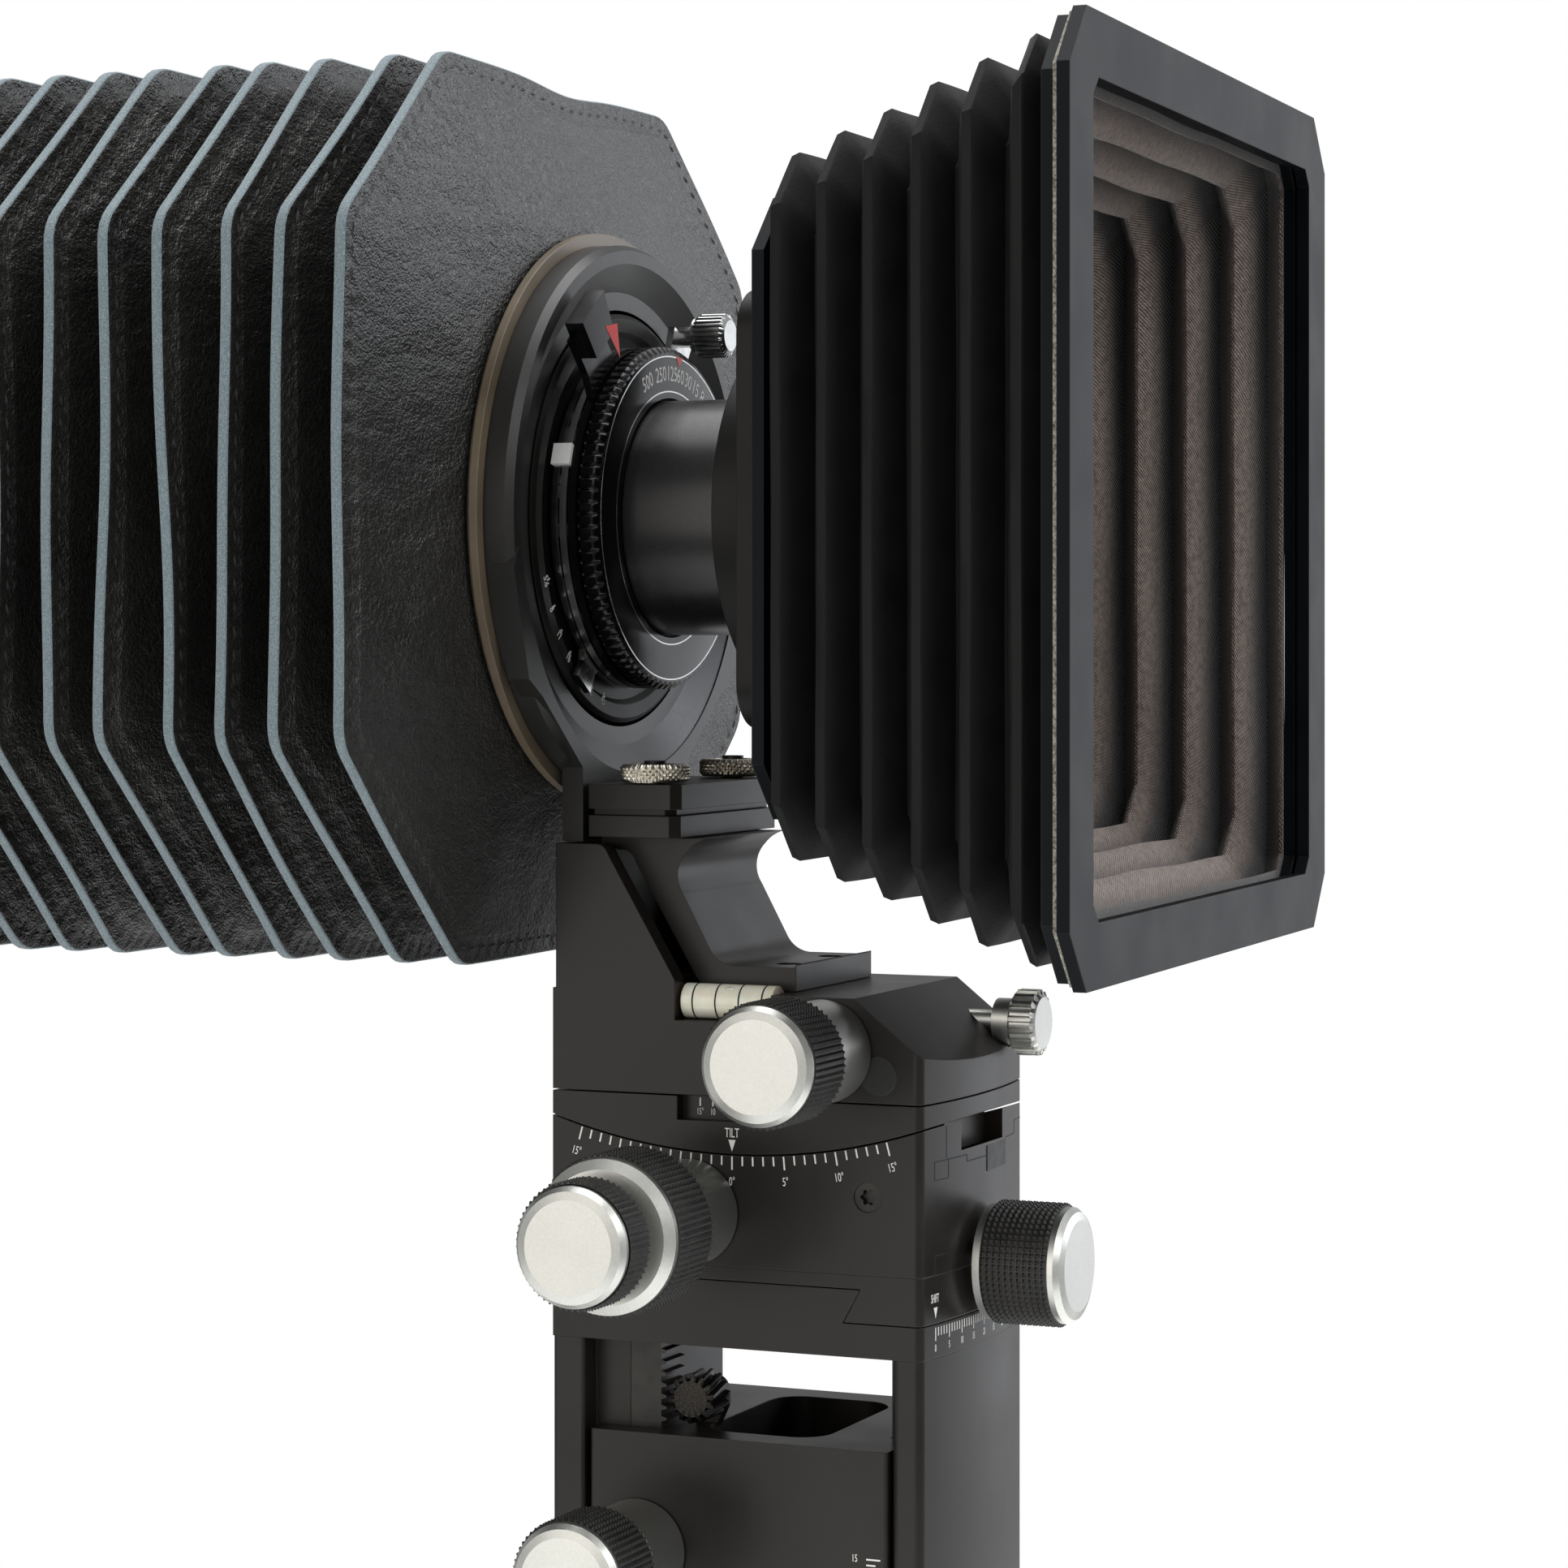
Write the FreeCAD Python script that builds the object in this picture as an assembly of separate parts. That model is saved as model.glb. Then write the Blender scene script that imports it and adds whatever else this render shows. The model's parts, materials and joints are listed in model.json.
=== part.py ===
import FreeCAD, Part
import math
import os

# Monorail view camera. Millimetres, +Z up, lens looks along -Y, +X to the camera's left as seen
# from behind it. The origin is the tripod socket in the underside of the tripod block.
# The front standard is drawn about its tilt axis, which crosses the lens axis, and is then moved
# to FRONT. The rear standard is drawn the same way about REAR.

os.makedirs("parts", exist_ok=True)

V = FreeCAD.Vector

# Where things stand
AXIS_HEIGHT = 285.0                      # lens axis above the tripod block's foot
FRONT = V(0, -85, AXIS_HEIGHT)           # tilt axis of the front standard
REAR = V(0, 132, AXIS_HEIGHT)            # lens axis over the rear carriage
RAIL_Y = (-145.0, 187.0)                 # ends of the monorail

# Standard body
HALF = 25.0                              # half width of every block
BACK = 35.0                              # rear face behind the tilt axis
NOSE = -37.7                             # crown of the rounded front face
NOSE_R = 142.0                           # radius of the rounded front face
GAP = 0.3                                # gap between faces that move past each other

# Heights of the joints of the front standard, below the lens axis
CARRIAGE_TOP = -162.3
CARRIAGE_Y = (-29.3, 27.7)               # faces of a carriage along the rail
BASE_Z = (-146.3, -140.5)                # plate that joins the two posts
DOVETAIL_TOP = -134.6
SPLIT_Z = -132.0                         # shift slide meets the tilt block
TILT_R = 112.2                           # radius of the tilt arc
CRADLE_TOP = -102.5
HOUSING_TOP = -84.2
FOOT_TOP = -79.9

# Drive knobs: radius of cap, grip and hub
CAP_R = 10.2
HUB_R = 9.0
SHAFT_R = 3.0
SHAFT_BORE_R = 3.05
SWING_KNOB = (-17.4, -93.5)              # Y, Z of the knob axes
TILT_KNOB = (8.1, -122.7)
RISE_KNOB = (18.0, -183.0)
FOCUS_KNOB = (0.0, -224.3)
SHIFT_KNOB = (0.0, -132.0)               # X, Z

# Rise drive
RACK_X = (-20.0, -12.0)
PINION_R = 4.4
PINION_AT = (10.3, -156.8)

# Lens and shutter, Y measured back from the tilt axis
RING_R = 50.0
BOARD_R = 37.5
SHUTTER_R = 29.5
SPEED_R = 31.3
BARREL_R = 21.4

# Hood
HOOD_FRONT = (86.0, 77.0, 9.1, 9.8)      # half width, half height, corner cut along X and Z
HOOD_REAR = (56.0, 52.4, 9.0, 9.5)
HOOD_Y = -79.7                           # front face of the mask frame
HOOD_SKEW = 2.9                          # degrees the mask frame stands askew on its soft bellows
HOOD_FOLDS = 6

# Camera bellows
LEAF = (80.0, 79.5, 42.0, 34.0)          # outer edge of a leaf
VALLEY = (62.0, 62.0, 26.0, 22.0)        # inner edge of a leaf
LEAF_FIRST = 46.0
LEAF_PITCH = 11.4
LEAVES = 13
LEATHER = 3.6                            # inset of the inner skin, 1 mm across a steep leaf
REAR_FRAME_Y = 190.0                     # front face of the rear frame behind the tilt axis


# ---------------------------------------------------------------- helpers

def box(x, y, z):
    """Block between two limits on each axis."""
    return Part.makeBox(x[1] - x[0], y[1] - y[0], z[1] - z[0], V(x[0], y[0], z[0]))


def rod(axis, at, r, length):
    """Cylinder of radius r that starts at a point and runs along an axis name such as "x" or "-y"."""
    way = {"x": V(1, 0, 0), "y": V(0, 1, 0), "z": V(0, 0, 1)}[axis[-1]]
    return Part.makeCylinder(r, length, V(*at), way * (-1 if axis[0] == "-" else 1))


def tube(axis, at, r, bore, length):
    """Cylinder with a through bore."""
    return rod(axis, at, r, length).cut(rod(axis, at, bore, length))


def outline(points):
    """Closed wire; a point is a vector, or a pair (point on the arc, end of the arc)."""
    edges, last = [], points[0]
    for p in points[1:] + [points[0]]:
        if isinstance(p, tuple):
            edges.append(Part.Arc(last, p[0], p[1]).toShape())
            last = p[1]
        elif p.distanceToPoint(last) > 1e-6:
            edges.append(Part.makeLine(last, p))
            last = p
    return Part.Wire(edges)


def slab(points, way):
    """Prism: an outline pushed along a vector."""
    return Part.Face(outline(points)).extrude(way)


def side(points, x):
    """Prism along X from an outline given as (Y, Z); arcs are ((Y, Z), (Y, Z))."""
    def at(p):
        return V(x[0], p[0], p[1])
    full = [(at(p[0]), at(p[1])) if isinstance(p[0], tuple) else at(p) for p in points]
    return slab(full, V(x[1] - x[0], 0, 0))


def face_on(points, y):
    """Prism along Y from an outline given as (X, Z)."""
    return slab([V(p[0], y[0], p[1]) for p in points], V(0, y[1] - y[0], 0))


def turned(profile, axis="y"):
    """Body of revolution about a coordinate axis from (radius, distance along the axis) points."""
    if axis == "y":
        pts = [V(r, t, 0) for r, t in profile]
        way = V(0, 1, 0)
    else:
        pts = [V(t, r, 0) for r, t in profile]
        way = V(1, 0, 0)
    return Part.Face(outline(pts)).revolve(V(0, 0, 0), way, 360)


def soften(shape, r, test):
    """Rounds the edges for which test(middle, direction) holds."""
    chosen = []
    for e in shape.Edges:
        if len(e.Vertexes) == 2:
            a, b = e.Vertexes[0].Point, e.Vertexes[1].Point
            if a.distanceToPoint(b) > 0.5 and test((a + b) * 0.5, (b - a).normalize()):
                chosen.append(e)
    return shape.makeFillet(r, chosen) if chosen else shape


def upright(d):
    return abs(d.z) > 0.999


def nosed(z, back=BACK, half=HALF, nose=NOSE, r=1.6):
    """Block with the rounded front face that all parts of a standard share."""
    corner = nose + NOSE_R - math.sqrt(NOSE_R ** 2 - half ** 2)
    pts = [V(-half, back, z[0]), V(half, back, z[0]), V(half, corner, z[0]),
           (V(0, nose, z[0]), V(-half, corner, z[0]))]
    block = slab(pts, V(0, 0, z[1] - z[0]))
    return soften(block, r, lambda m, d: upright(d) and m.y < 0)


def octagon(w, h, cx, cz, y, skew=0.0):
    """Wire of a rectangle with cut corners that faces along Y, turned about Z by skew degrees."""
    pts = [(w - cx, h), (w, h - cz), (w, cz - h), (w - cx, -h),
           (cx - w, -h), (-w, cz - h), (-w, h - cz), (cx - w, h)]
    c, s = math.cos(math.radians(skew)), math.sin(math.radians(skew))
    pts = [V(x * c, y + x * s, z) for x, z in pts]
    return Part.makePolygon(pts + [pts[0]])


def pleated(sections, wall):
    """Thin pleated tube through a list of octagon sections (w, h, cx, cz, y, skew)."""
    outer = Part.makeLoft([octagon(*s) for s in sections], True, True)
    inner = [(w - wall, h - wall, cx, cz, y, k) for w, h, cx, cz, y, k in sections]
    way = 1.0 if inner[0][4] > inner[-1][4] else -1.0
    inner.insert(0, inner[0][:4] + (inner[0][4] + way, inner[0][5]))
    inner.append(inner[-1][:4] + (inner[-1][4] - way, inner[-1][5]))
    return outer.cut(Part.makeLoft([octagon(*s) for s in inner], True, True))


def save(name, shape, at=V(0, 0, 0)):
    """Moves a shape to its place and writes it."""
    shape = shape.removeSplitter()
    shape.translate(at)
    solids = shape.Solids
    if len(solids) == 1:
        shape = solids[0]
    shape.exportStep("parts/" + name + ".step")


# ---------------------------------------------------------------- knobs

def along_x(profile, at):
    """Body turned about an axis along X, placed at (Y, Z)."""
    s = turned(profile, "x")
    s.translate(V(0, at[0], at[1]))
    return s


def knob_core(at, cap, grip_end, face=-HALF, depth=10.0, r=CAP_R):
    """Metal of a drive knob on the -X side: domed cap, core under the grip, hub and shaft."""
    hub = face - 0.4
    return along_x([(0, cap), (r - 2.2, cap), (r - 0.8, cap + 0.5), (r, cap + 1.5), (r, cap + 2.2),
                    (r - 1.6, cap + 2.2), (r - 1.6, grip_end), (HUB_R, grip_end),
                    (HUB_R, grip_end + 1.2), (HUB_R - 0.8, grip_end + 1.2),
                    (HUB_R - 0.8, grip_end + 3.0), (HUB_R, grip_end + 3.0), (HUB_R, hub),
                    (SHAFT_R, hub), (SHAFT_R, face + depth), (0, face + depth)], at)


def knob_grip(at, cap, grip_end, r=CAP_R):
    """Rubber sleeve of a drive knob."""
    return along_x([(r - 1.6, cap + 2.2), (r + 0.2, cap + 2.2), (r + 0.2, grip_end),
                    (r - 1.6, grip_end)], at)


def front_knob(at, y):
    """Metal of the shift knob, which points forward."""
    front, face = y
    s = turned([(0, front), (CAP_R - 2.2, front), (CAP_R - 0.8, front + 0.5),
                (CAP_R, front + 1.5), (CAP_R, front + 2.6), (CAP_R - 1.6, front + 2.6),
                (CAP_R - 1.6, face - 1.4), (CAP_R, face - 1.4), (CAP_R, face), (SHAFT_R, face),
                (SHAFT_R, face + 12), (0, face + 12)])
    s.translate(V(at[0], 0, at[1]))
    return s


# ---------------------------------------------------------------- rail and tripod block

def monorail():
    """Square rail with a groove along each flank and an undercut slot below."""
    half = [(0, -232), (13, -232), (15, -234), (15, -241), (12, -243.5), (12, -246.5), (15, -249),
            (15, -260.5), (13.5, -262), (4, -262), (4, -258), (8, -258), (8, -253), (0, -253)]
    pts = half + [(-x, z) for x, z in reversed(half[1:-1])]
    rail = face_on(pts, RAIL_Y)
    rail.translate(V(0, 0, AXIS_HEIGHT))
    z = AXIS_HEIGHT - 232
    return rail.cut(box((-4.2, 4.2), RAIL_Y, (z - 1.2, z + 1)))


def rail_rack():
    """Focusing rack let into the top of the rail."""
    z = AXIS_HEIGHT - 232
    return box((-4, 4), (RAIL_Y[0] + 6, RAIL_Y[1] - 6), (z - 1.1, z + 1.8))


def rail_end_caps():
    """A moulded cap on each end of the rail."""
    z = AXIS_HEIGHT
    caps = []
    for y in ((RAIL_Y[0] - 4, RAIL_Y[0] - 0.1), (RAIL_Y[1] + 0.1, RAIL_Y[1] + 4)):
        cap = box((-15.5, 15.5), y, (z - 262.4, z - 231.6))
        caps.append(soften(cap, 2.0, lambda m, d: abs(d.y) > 0.999))
    return Part.makeCompound(caps)


def tripod_block():
    """Clamp that holds the rail's slot and takes the tripod screw."""
    z = AXIS_HEIGHT
    block = box((-27, 27), (-32, 32), (0, z - 251.2))
    block = soften(block, 4.0, lambda m, d: upright(d))
    block = block.cut(box((-15.3, 15.3), (-33, 33), (z - 262.4, z - 250)))
    key = box((-3.7, 3.7), (-32, 32), (z - 262.5, z - 257.5))
    key = key.fuse(box((-7.6, 7.6), (-32, 32), (z - 257.6, z - 253.4)))
    block = block.fuse(key)
    block = block.cut(rod("z", (0, 0, -1), 4.2, 13))
    for y in (-20, 20):
        block = block.cut(rod("z", (0, y, -1), 2.6, 9))
    return block.cut(rod("x", (-28, 0, z - 255.6), SHAFT_BORE_R, 12))


def tripod_clamp_knob():
    """Clamp knob on the near side of the tripod block."""
    z = AXIS_HEIGHT - 255.6
    return along_x([(0, -44), (8, -44), (9.5, -43), (9.5, -34), (8, -33), (5, -33), (5, -27.4),
                    (SHAFT_R, -27.4), (SHAFT_R, -17), (0, -17)], (0, z))


# ---------------------------------------------------------------- front standard, lower part

def jaws(y):
    """Lower part of a carriage that grips the rail's flanks."""
    body = box((-HALF, HALF), y, (-250, -228))
    half = [(0, -231.7), (13.2, -231.7), (15.3, -233.8), (15.3, -241.1), (12.3, -243.6),
            (12.3, -246.4), (15.3, -248.9), (15.3, -252), (0, -252)]
    pts = half + [(-x, z) for x, z in reversed(half[1:-1])]
    body = body.cut(face_on(pts, (y[0] - 1, y[1] + 1)))
    return body.cut(box((-4.4, 4.4), (y[0] - 1, y[1] + 1), (-233, -229.9)))


def carriage():
    """Block that runs on the rail, with a cell for the pinion and a bore for its shaft."""
    body = box((-HALF, HALF), CARRIAGE_Y, (-229, CARRIAGE_TOP))
    body = soften(body, 0.8, lambda m, d: upright(d)).fuse(jaws(CARRIAGE_Y))
    y, z = FOCUS_KNOB
    body = body.cut(box((-5.5, 5.5), (y - 6, y + 6), (-234, -217.5)))
    return body.cut(rod("x", (-26, y, z), SHAFT_BORE_R, 21))


def front_carriage():
    """Front carriage with a rounded pocket in its top, channels for the posts and drive seats."""
    pocket = box((-18.5, 18.5), (-14, 9.2), (-188, CARRIAGE_TOP + 1))
    pocket = soften(pocket, 6.0, lambda m, d: upright(d))
    body = carriage().cut(pocket)
    top = (-240, CARRIAGE_TOP + 1)
    body = body.cut(box((-20.3, 20.3), (21.7, 28), (-228.5, top[1])))
    body = body.cut(box((RACK_X[0] - GAP, RACK_X[1] + GAP), (14.7, 22), (-228.5, top[1])))
    body = body.cut(box((-12.3, 12.3), (-30, -24.7), (-228.5, top[1])))
    y, z = PINION_AT
    ear = side([(y - 1.0, CARRIAGE_TOP - 1), (y + 2.8, CARRIAGE_TOP - 1), (y + 2.8, z),
                ((y, z + 2.8), (y - 2.8, z)), (y - 2.8, z - 2.6)], (-11.4, -9.0))
    ear = ear.cut(rod("x", (-12, y, z), 1.55, 4))
    body = body.fuse(ear)
    body = body.cut(rod("x", (-26, RISE_KNOB[0], RISE_KNOB[1]), SHAFT_BORE_R, 11))
    return body.cut(rod("x", (16, -18, FOCUS_KNOB[1]), SHAFT_BORE_R, 10))


def front_focus_lock():
    """Small lock knob on the far side of the front carriage."""
    return along_x([(0, 38), (6, 38), (7, 37), (7, 30), (4.5, 29), (4.5, 25.4), (SHAFT_R, 25.4),
                    (SHAFT_R, 17), (0, 17)], (-18, FOCUS_KNOB[1]))


def focus_knob():
    """Focus knob with its shaft and pinion in one piece."""
    knob = knob_core(FOCUS_KNOB, -55.5, -41.0, depth=20)
    grip = knob_grip(FOCUS_KNOB, -55.5, -41.0)
    pinion = along_x([(0, -5.0), (5.0, -5.0), (5.0, 3.5), (0, 3.5)], FOCUS_KNOB)
    return knob.fuse([grip, pinion])


def rise_pinion():
    """Helical pinion that climbs the rack, seen above the carriage."""
    return along_x([(0, RACK_X[0]), (PINION_R - 0.6, RACK_X[0]), (PINION_R, RACK_X[0] + 0.6),
                    (PINION_R, RACK_X[1] - 0.6), (PINION_R - 0.6, RACK_X[1]),
                    (1.5, RACK_X[1]), (1.5, -8.8), (0, -8.8)], PINION_AT)


def rear_post():
    """Post behind the carriage with the guide rib that runs in it."""
    post = box((-HALF, HALF), (28.8, BACK), (-212, BASE_Z[0] - 0.02))
    post = soften(post, 0.8, lambda m, d: upright(d))
    return post.fuse(box((-20, 20), (22, 29), (-212, BASE_Z[0] - 0.02)))


def face_post():
    """Rounded post in front of the carriage with its guide rib."""
    post = nosed((-212, BASE_Z[0] - 0.02), back=-29.9)
    return post.fuse(box((-12, 12), (-30, -25), (-212, BASE_Z[0] - 0.02)))


def rise_rack():
    """Rack on the near side of the rear post's rib."""
    body = box(RACK_X, (16, 21.9), (-212, BASE_Z[0] - 0.1))
    for i in range(32):
        z = -211.2 + 2.0 * i
        if z + 1.2 < BASE_Z[0] - 0.5:
            tooth = side([(16.2, z), (15.0, z + 0.35), (15.0, z + 0.75), (16.2, z + 1.1)], RACK_X)
            body = body.fuse(tooth)
    return body


def dovetail(grow, x):
    """Dovetail along X that carries the shift slide, wider at its top."""
    return side([(-20.9 - grow, BASE_Z[1] - 1), (-20.9 - grow, BASE_Z[1]),
                 (-24.1 - grow, DOVETAIL_TOP + grow), (24.1 + grow, DOVETAIL_TOP + grow),
                 (20.9 + grow, BASE_Z[1]), (20.9 + grow, BASE_Z[1] - 1)], x)


def shift_base():
    """Plate across the two posts with the male dovetail on top and room for the pinion below."""
    body = nosed(BASE_Z).fuse(dovetail(0, (-HALF, HALF)))
    return body.cut(box((-20.6, -8.2), (5.0, 15.5), (-148, BASE_Z[0] + 4.4)))


def knob_seat(r=SHAFT_BORE_R):
    """Seat of the shift knob's shaft, shared by the slide and the tilt block."""
    return rod("y", (SHIFT_KNOB[0], -40, SHIFT_KNOB[1]), r, 13.5)


def shift_slide():
    """Slide that hooks over the dovetail."""
    body = nosed((BASE_Z[1] + 0.2, SPLIT_Z - 0.03))
    return body.cut(dovetail(0.2, (-HALF - 1, HALF + 1))).cut(knob_seat())


def arc_bore(r):
    return rod("x", (-HALF - 1, 0, 0), r, 2 * HALF + 2)


def tilt_base():
    """Block under the tilt arc with the groove for the cradle's tongue."""
    body = nosed((SPLIT_Z, -104)).cut(arc_bore(TILT_R + GAP))
    groove = rod("x", (-10.3, 0, 0), TILT_R + 5.3, 20.6)
    body = body.cut(groove).cut(knob_seat())
    body = body.cut(rod("x", (-26, TILT_KNOB[0], TILT_KNOB[1]), SHAFT_BORE_R, 11))
    for x in (-26, 22.6):
        body = body.cut(rod("x", (x, -25.6, -118.5), 2.6, 3.4))
    return body


def tilt_base_screws():
    """Star-socket screws that close the tilt block, one on each side."""
    out = []
    for x, way in ((-24.7, 1), (24.7, -1)):
        head = rod("x" if way > 0 else "-x", (x, -25.6, -118.5), 2.55, 1.9)
        star = rod("x" if way > 0 else "-x", (x, -25.6, -118.5), 1.1, 1.2)
        for k in range(6):
            a = math.radians(60 * k)
            at = (x, -25.6 + 1.1 * math.cos(a), -118.5 + 1.1 * math.sin(a))
            star = star.fuse(rod("x" if way > 0 else "-x", at, 0.36, 1.2))
        out.append(head.cut(star))
    return Part.makeCompound(out)


def tilt_knob():
    """Outer tilt knob: stepped front ring, core and hub around the lock's shaft."""
    return along_x([(4.2, -60.6), (11.5, -60.6), (13.2, -59.4), (13.2, -58.2), (11.6, -58.2),
                    (11.6, -45.6), (11.4, -45.6), (11.4, -44.2), (9.3, -44.2), (9.3, -40.0),
                    (8.4, -40.0), (8.4, -38.0), (9.3, -38.0), (9.3, -25.4), (SHAFT_R, -25.4),
                    (SHAFT_R, -15.5), (1.85, -15.5), (1.85, -60.0), (4.2, -60.0)], TILT_KNOB)


def tilt_grip():
    """Rubber sleeve of the outer tilt knob."""
    return along_x([(11.6, -58.2), (13.5, -58.2), (13.5, -45.6), (11.6, -45.6)], TILT_KNOB)


def tilt_lock():
    """Inner knob that locks the tilt, on a thin shaft through the outer one."""
    r = CAP_R
    return along_x([(0, -73.6), (r - 2.2, -73.6), (r - 0.8, -73.1), (r, -72.1), (r, -71.2),
                    (r + 0.2, -71.2), (r + 0.2, -64.2), (r - 1.6, -64.2), (r - 1.6, -62.6),
                    (3.8, -62.6), (3.8, -60.3), (1.8, -60.3), (1.8, -17.0), (0, -17.0)],
                   TILT_KNOB)


def tilt_cradle():
    """Cradle that slides on the tilt arc and carries the swing turntable."""
    body = nosed((-114, CRADLE_TOP)).common(arc_bore(TILT_R))
    tongue = rod("x", (-10, 0, 0), TILT_R + 5, 20).common(box((-11, 11), (-34, 34), (-120, -104)))
    body = body.fuse(tongue)
    body = body.fuse(rod("z", (0, 0, -103), 9.0, 5.0))
    return body.cut(box((-26, -22.3), (-10.6, 10.6), (-106.7, -102)))


# ---------------------------------------------------------------- swing housing and arm

def swing_housing():
    """Turntable housing with a sloped nose, side cheeks and the level's notch."""
    z0 = CRADLE_TOP + GAP
    body = nosed((z0, HOUSING_TOP))
    body = body.cut(side([(-23, HOUSING_TOP), (-41, -98.5), (-41, -80), (-23, -80)], (-26, 26)))
    cheek = [(34.4, z0), (34.4, -58.5), (26.8, -58.5), ((25.2, -58.9), (24.2, -60.2)),
             (11.9, -80.8), (11.1, -82.2), (11.1, z0)]
    for x in ((-HALF, -21), (21, HALF)):
        body = body.fuse(side(cheek, x))
    body = body.fuse(box((-HALF, HALF), (31, 34.4), (z0, -58.5)))
    body = body.cut(box((-26, -16.4), (-7.4, 11.1), (-89.2, -84)))
    body = body.cut(rod("z", (0, 0, z0 - 1), 9.05, 5.2))
    body = body.cut(rod("x", (-26, SWING_KNOB[0], SWING_KNOB[1]), SHAFT_BORE_R, 11.2))
    body = body.cut(rod("y", (15.3, -40, -91.1), 2.05, 16))
    body = body.cut(rod("y", (15.3, -40, -91.1), 4.6, 5.6))
    return body


def spirit_level():
    """Cream tube level lying along the housing's notch."""
    return rod("y", (-20.6, -7.2, -86.0), 3.1, 18.0)


def swing_lock():
    """Silver knurled lock screw at the front of the swing housing."""
    s = turned([(0, -43.4), (5.2, -43.4), (6.0, -42.6), (6.0, -38.8), (5.2, -38.0), (4.2, -38.0),
                (4.2, -34.8), (2.0, -34.8), (2.0, -25), (0, -25)])
    s.translate(V(15.3, 0, -91.1))
    return s


def gooseneck():
    """Swept arm from the turntable up to the panel clamp."""
    z = HOUSING_TOP + 0.1
    pts = [(-9, z), (-9, FOOT_TOP + 0.6), ((-8.8, FOOT_TOP + 0.2), (-8.4, FOOT_TOP)),
           (2.6, FOOT_TOP), ((5.6, -79.2), (7.6, -77.2)), (12.9, -67.4),
           ((13.9, -63.4), (12.2, -60.0)), ((10.4, -58.4), (8.0, -57.5)), (29.0, -57.5),
           (29.0, -59.6), (24.4, -59.8), ((23.0, -60.6), (22.2, -62.0)), (10.6, -81.6),
           ((8.6, -83.5), (6.0, z))]
    arm = side(pts, (-17.5, 17.5))
    for x in (-9.5, 9.5):
        arm = arm.cut(rod("z", (x, -4.2, z - 1), 2.3, 6))
    return arm


def gooseneck_screws():
    """Two screws sunk in the arm's foot."""
    z = HOUSING_TOP + 0.1
    out = []
    for x in (-9.5, 9.5):
        s = rod("z", (x, -4.2, z), 2.25, 3.4).cut(rod("z", (x, -4.2, z + 1.6), 1.1, 3))
        out.append(s)
    return Part.makeCompound(out)


def plate(z, half, y, cut=1.6):
    """Plate with small cut corners at its front."""
    pts = [V(-half, y[1], z[0]), V(half, y[1], z[0]), V(half, y[0] + cut, z[0]),
           V(half - cut, y[0], z[0]), V(cut - half, y[0], z[0]), V(-half, y[0] + cut, z[0])]
    return slab(pts, V(0, 0, z[1] - z[0]))


def clamp_plate_lower():
    """Fixed jaw of the panel clamp with two studs."""
    body = plate((-57.3, -53.5), 22.5, (11.8, 29.1))
    for x in (-17, 17):
        body = body.fuse(rod("z", (x, 18.6, -54), 2.0, 10.2))
    return body


def clamp_plate_upper():
    """Loose jaw of the panel clamp, held down by the two nuts."""
    body = plate((-52.3, -47.9), 22.5, (11.6, 29.1))
    body = body.fuse(plate((-53.4, -52.2), 21.6, (13.0, 28.4)))
    for x in (-17, 17):
        body = body.cut(rod("z", (x, 18.6, -54), 2.2, 8))
    return body


def clamp_nut(x):
    """Round knurled nut of the panel clamp."""
    return tube("z", (x, 18.6, -47.6), 6.1, 2.05, 3.2)


# ---------------------------------------------------------------- lens panel

def lens_ring_holder():
    """Round panel holder with a stem that drops behind the clamp."""
    body = turned([(38.2, 36.0), (RING_R, 36.0), (RING_R, 32.0), (49.0, 30.6), (46.6, 30.6),
                   (41.5, 33.4), (38.2, 33.4)])
    shoulders = face_on([(-47.5, -6), (-49.6, -9.5), (-43.6, -29), (-38.5, -32), (-22.4, -45),
                         (-22.4, -58.2), (22.4, -58.2), (22.4, -45), (38.5, -32), (43.6, -29),
                         (49.6, -9.5), (47.5, -6)], (30.3, 34.4))
    shoulders = shoulders.cut(rod("y", (0, 29, 0), 46.6, 4.3)).cut(rod("y", (0, 29, 0), 44.0, 8))
    return body.fuse(shoulders)


def bellows_ring():
    """Metal ring that grips the front of the bellows."""
    return turned([(44.0, 36.1), (52.3, 36.1), (52.3, 37.6), (51.6, 38.3), (44.0, 38.3)])


def lens_board():
    """Round lens board with a raised step around the shutter."""
    return turned([(17.4, 36.0), (BOARD_R, 36.0), (BOARD_R, 33.2), (36.6, 32.6), (34.2, 32.6),
                   (33.2, 33.6), (17.4, 33.6)])


def shutter_body():
    """Leaf shutter case with its clear aperture, nose and rear thread."""
    return turned([(13.0, 23.4), (21.4, 23.4), (21.4, 26.1), (SHUTTER_R, 26.1),
                   (SHUTTER_R, 33.3), (17.3, 33.3), (17.3, 38.8), (15.0, 38.8), (15.0, 28.2),
                   (13.0, 28.2)])


def speed_ring():
    """Speed-setting ring that caps the shutter."""
    return turned([(21.9, 23.3), (30.4, 23.3), (SPEED_R, 24.2), (SPEED_R, 27.2), (29.95, 27.2),
                   (29.95, 25.7), (21.9, 25.7)])


def polar(r, degrees):
    """Point at a radius and an angle, as X and Z."""
    a = math.radians(degrees)
    return (r * math.cos(a), r * math.sin(a))


def lever(angle, span, r, y, tip=0.0, inner=29.9):
    """Flat lever on a collar around the shutter, reaching out at an angle."""
    a, b = angle - span / 2, angle + span / 2
    arm = face_on([polar(inner - 1.0, a - 4), polar(r[0], a), polar(r[1], a + tip),
                   polar(r[1], b - tip), polar(r[0], b), polar(inner - 1.0, b + 4)], y)
    collar = tube("y", (0, y[0], 0), inner + 1.3, inner, y[1] - y[0])
    arm = arm.cut(rod("y", (0, y[0] - 1, 0), inner, y[1] - y[0] + 2))
    return arm.fuse(collar)


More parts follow.
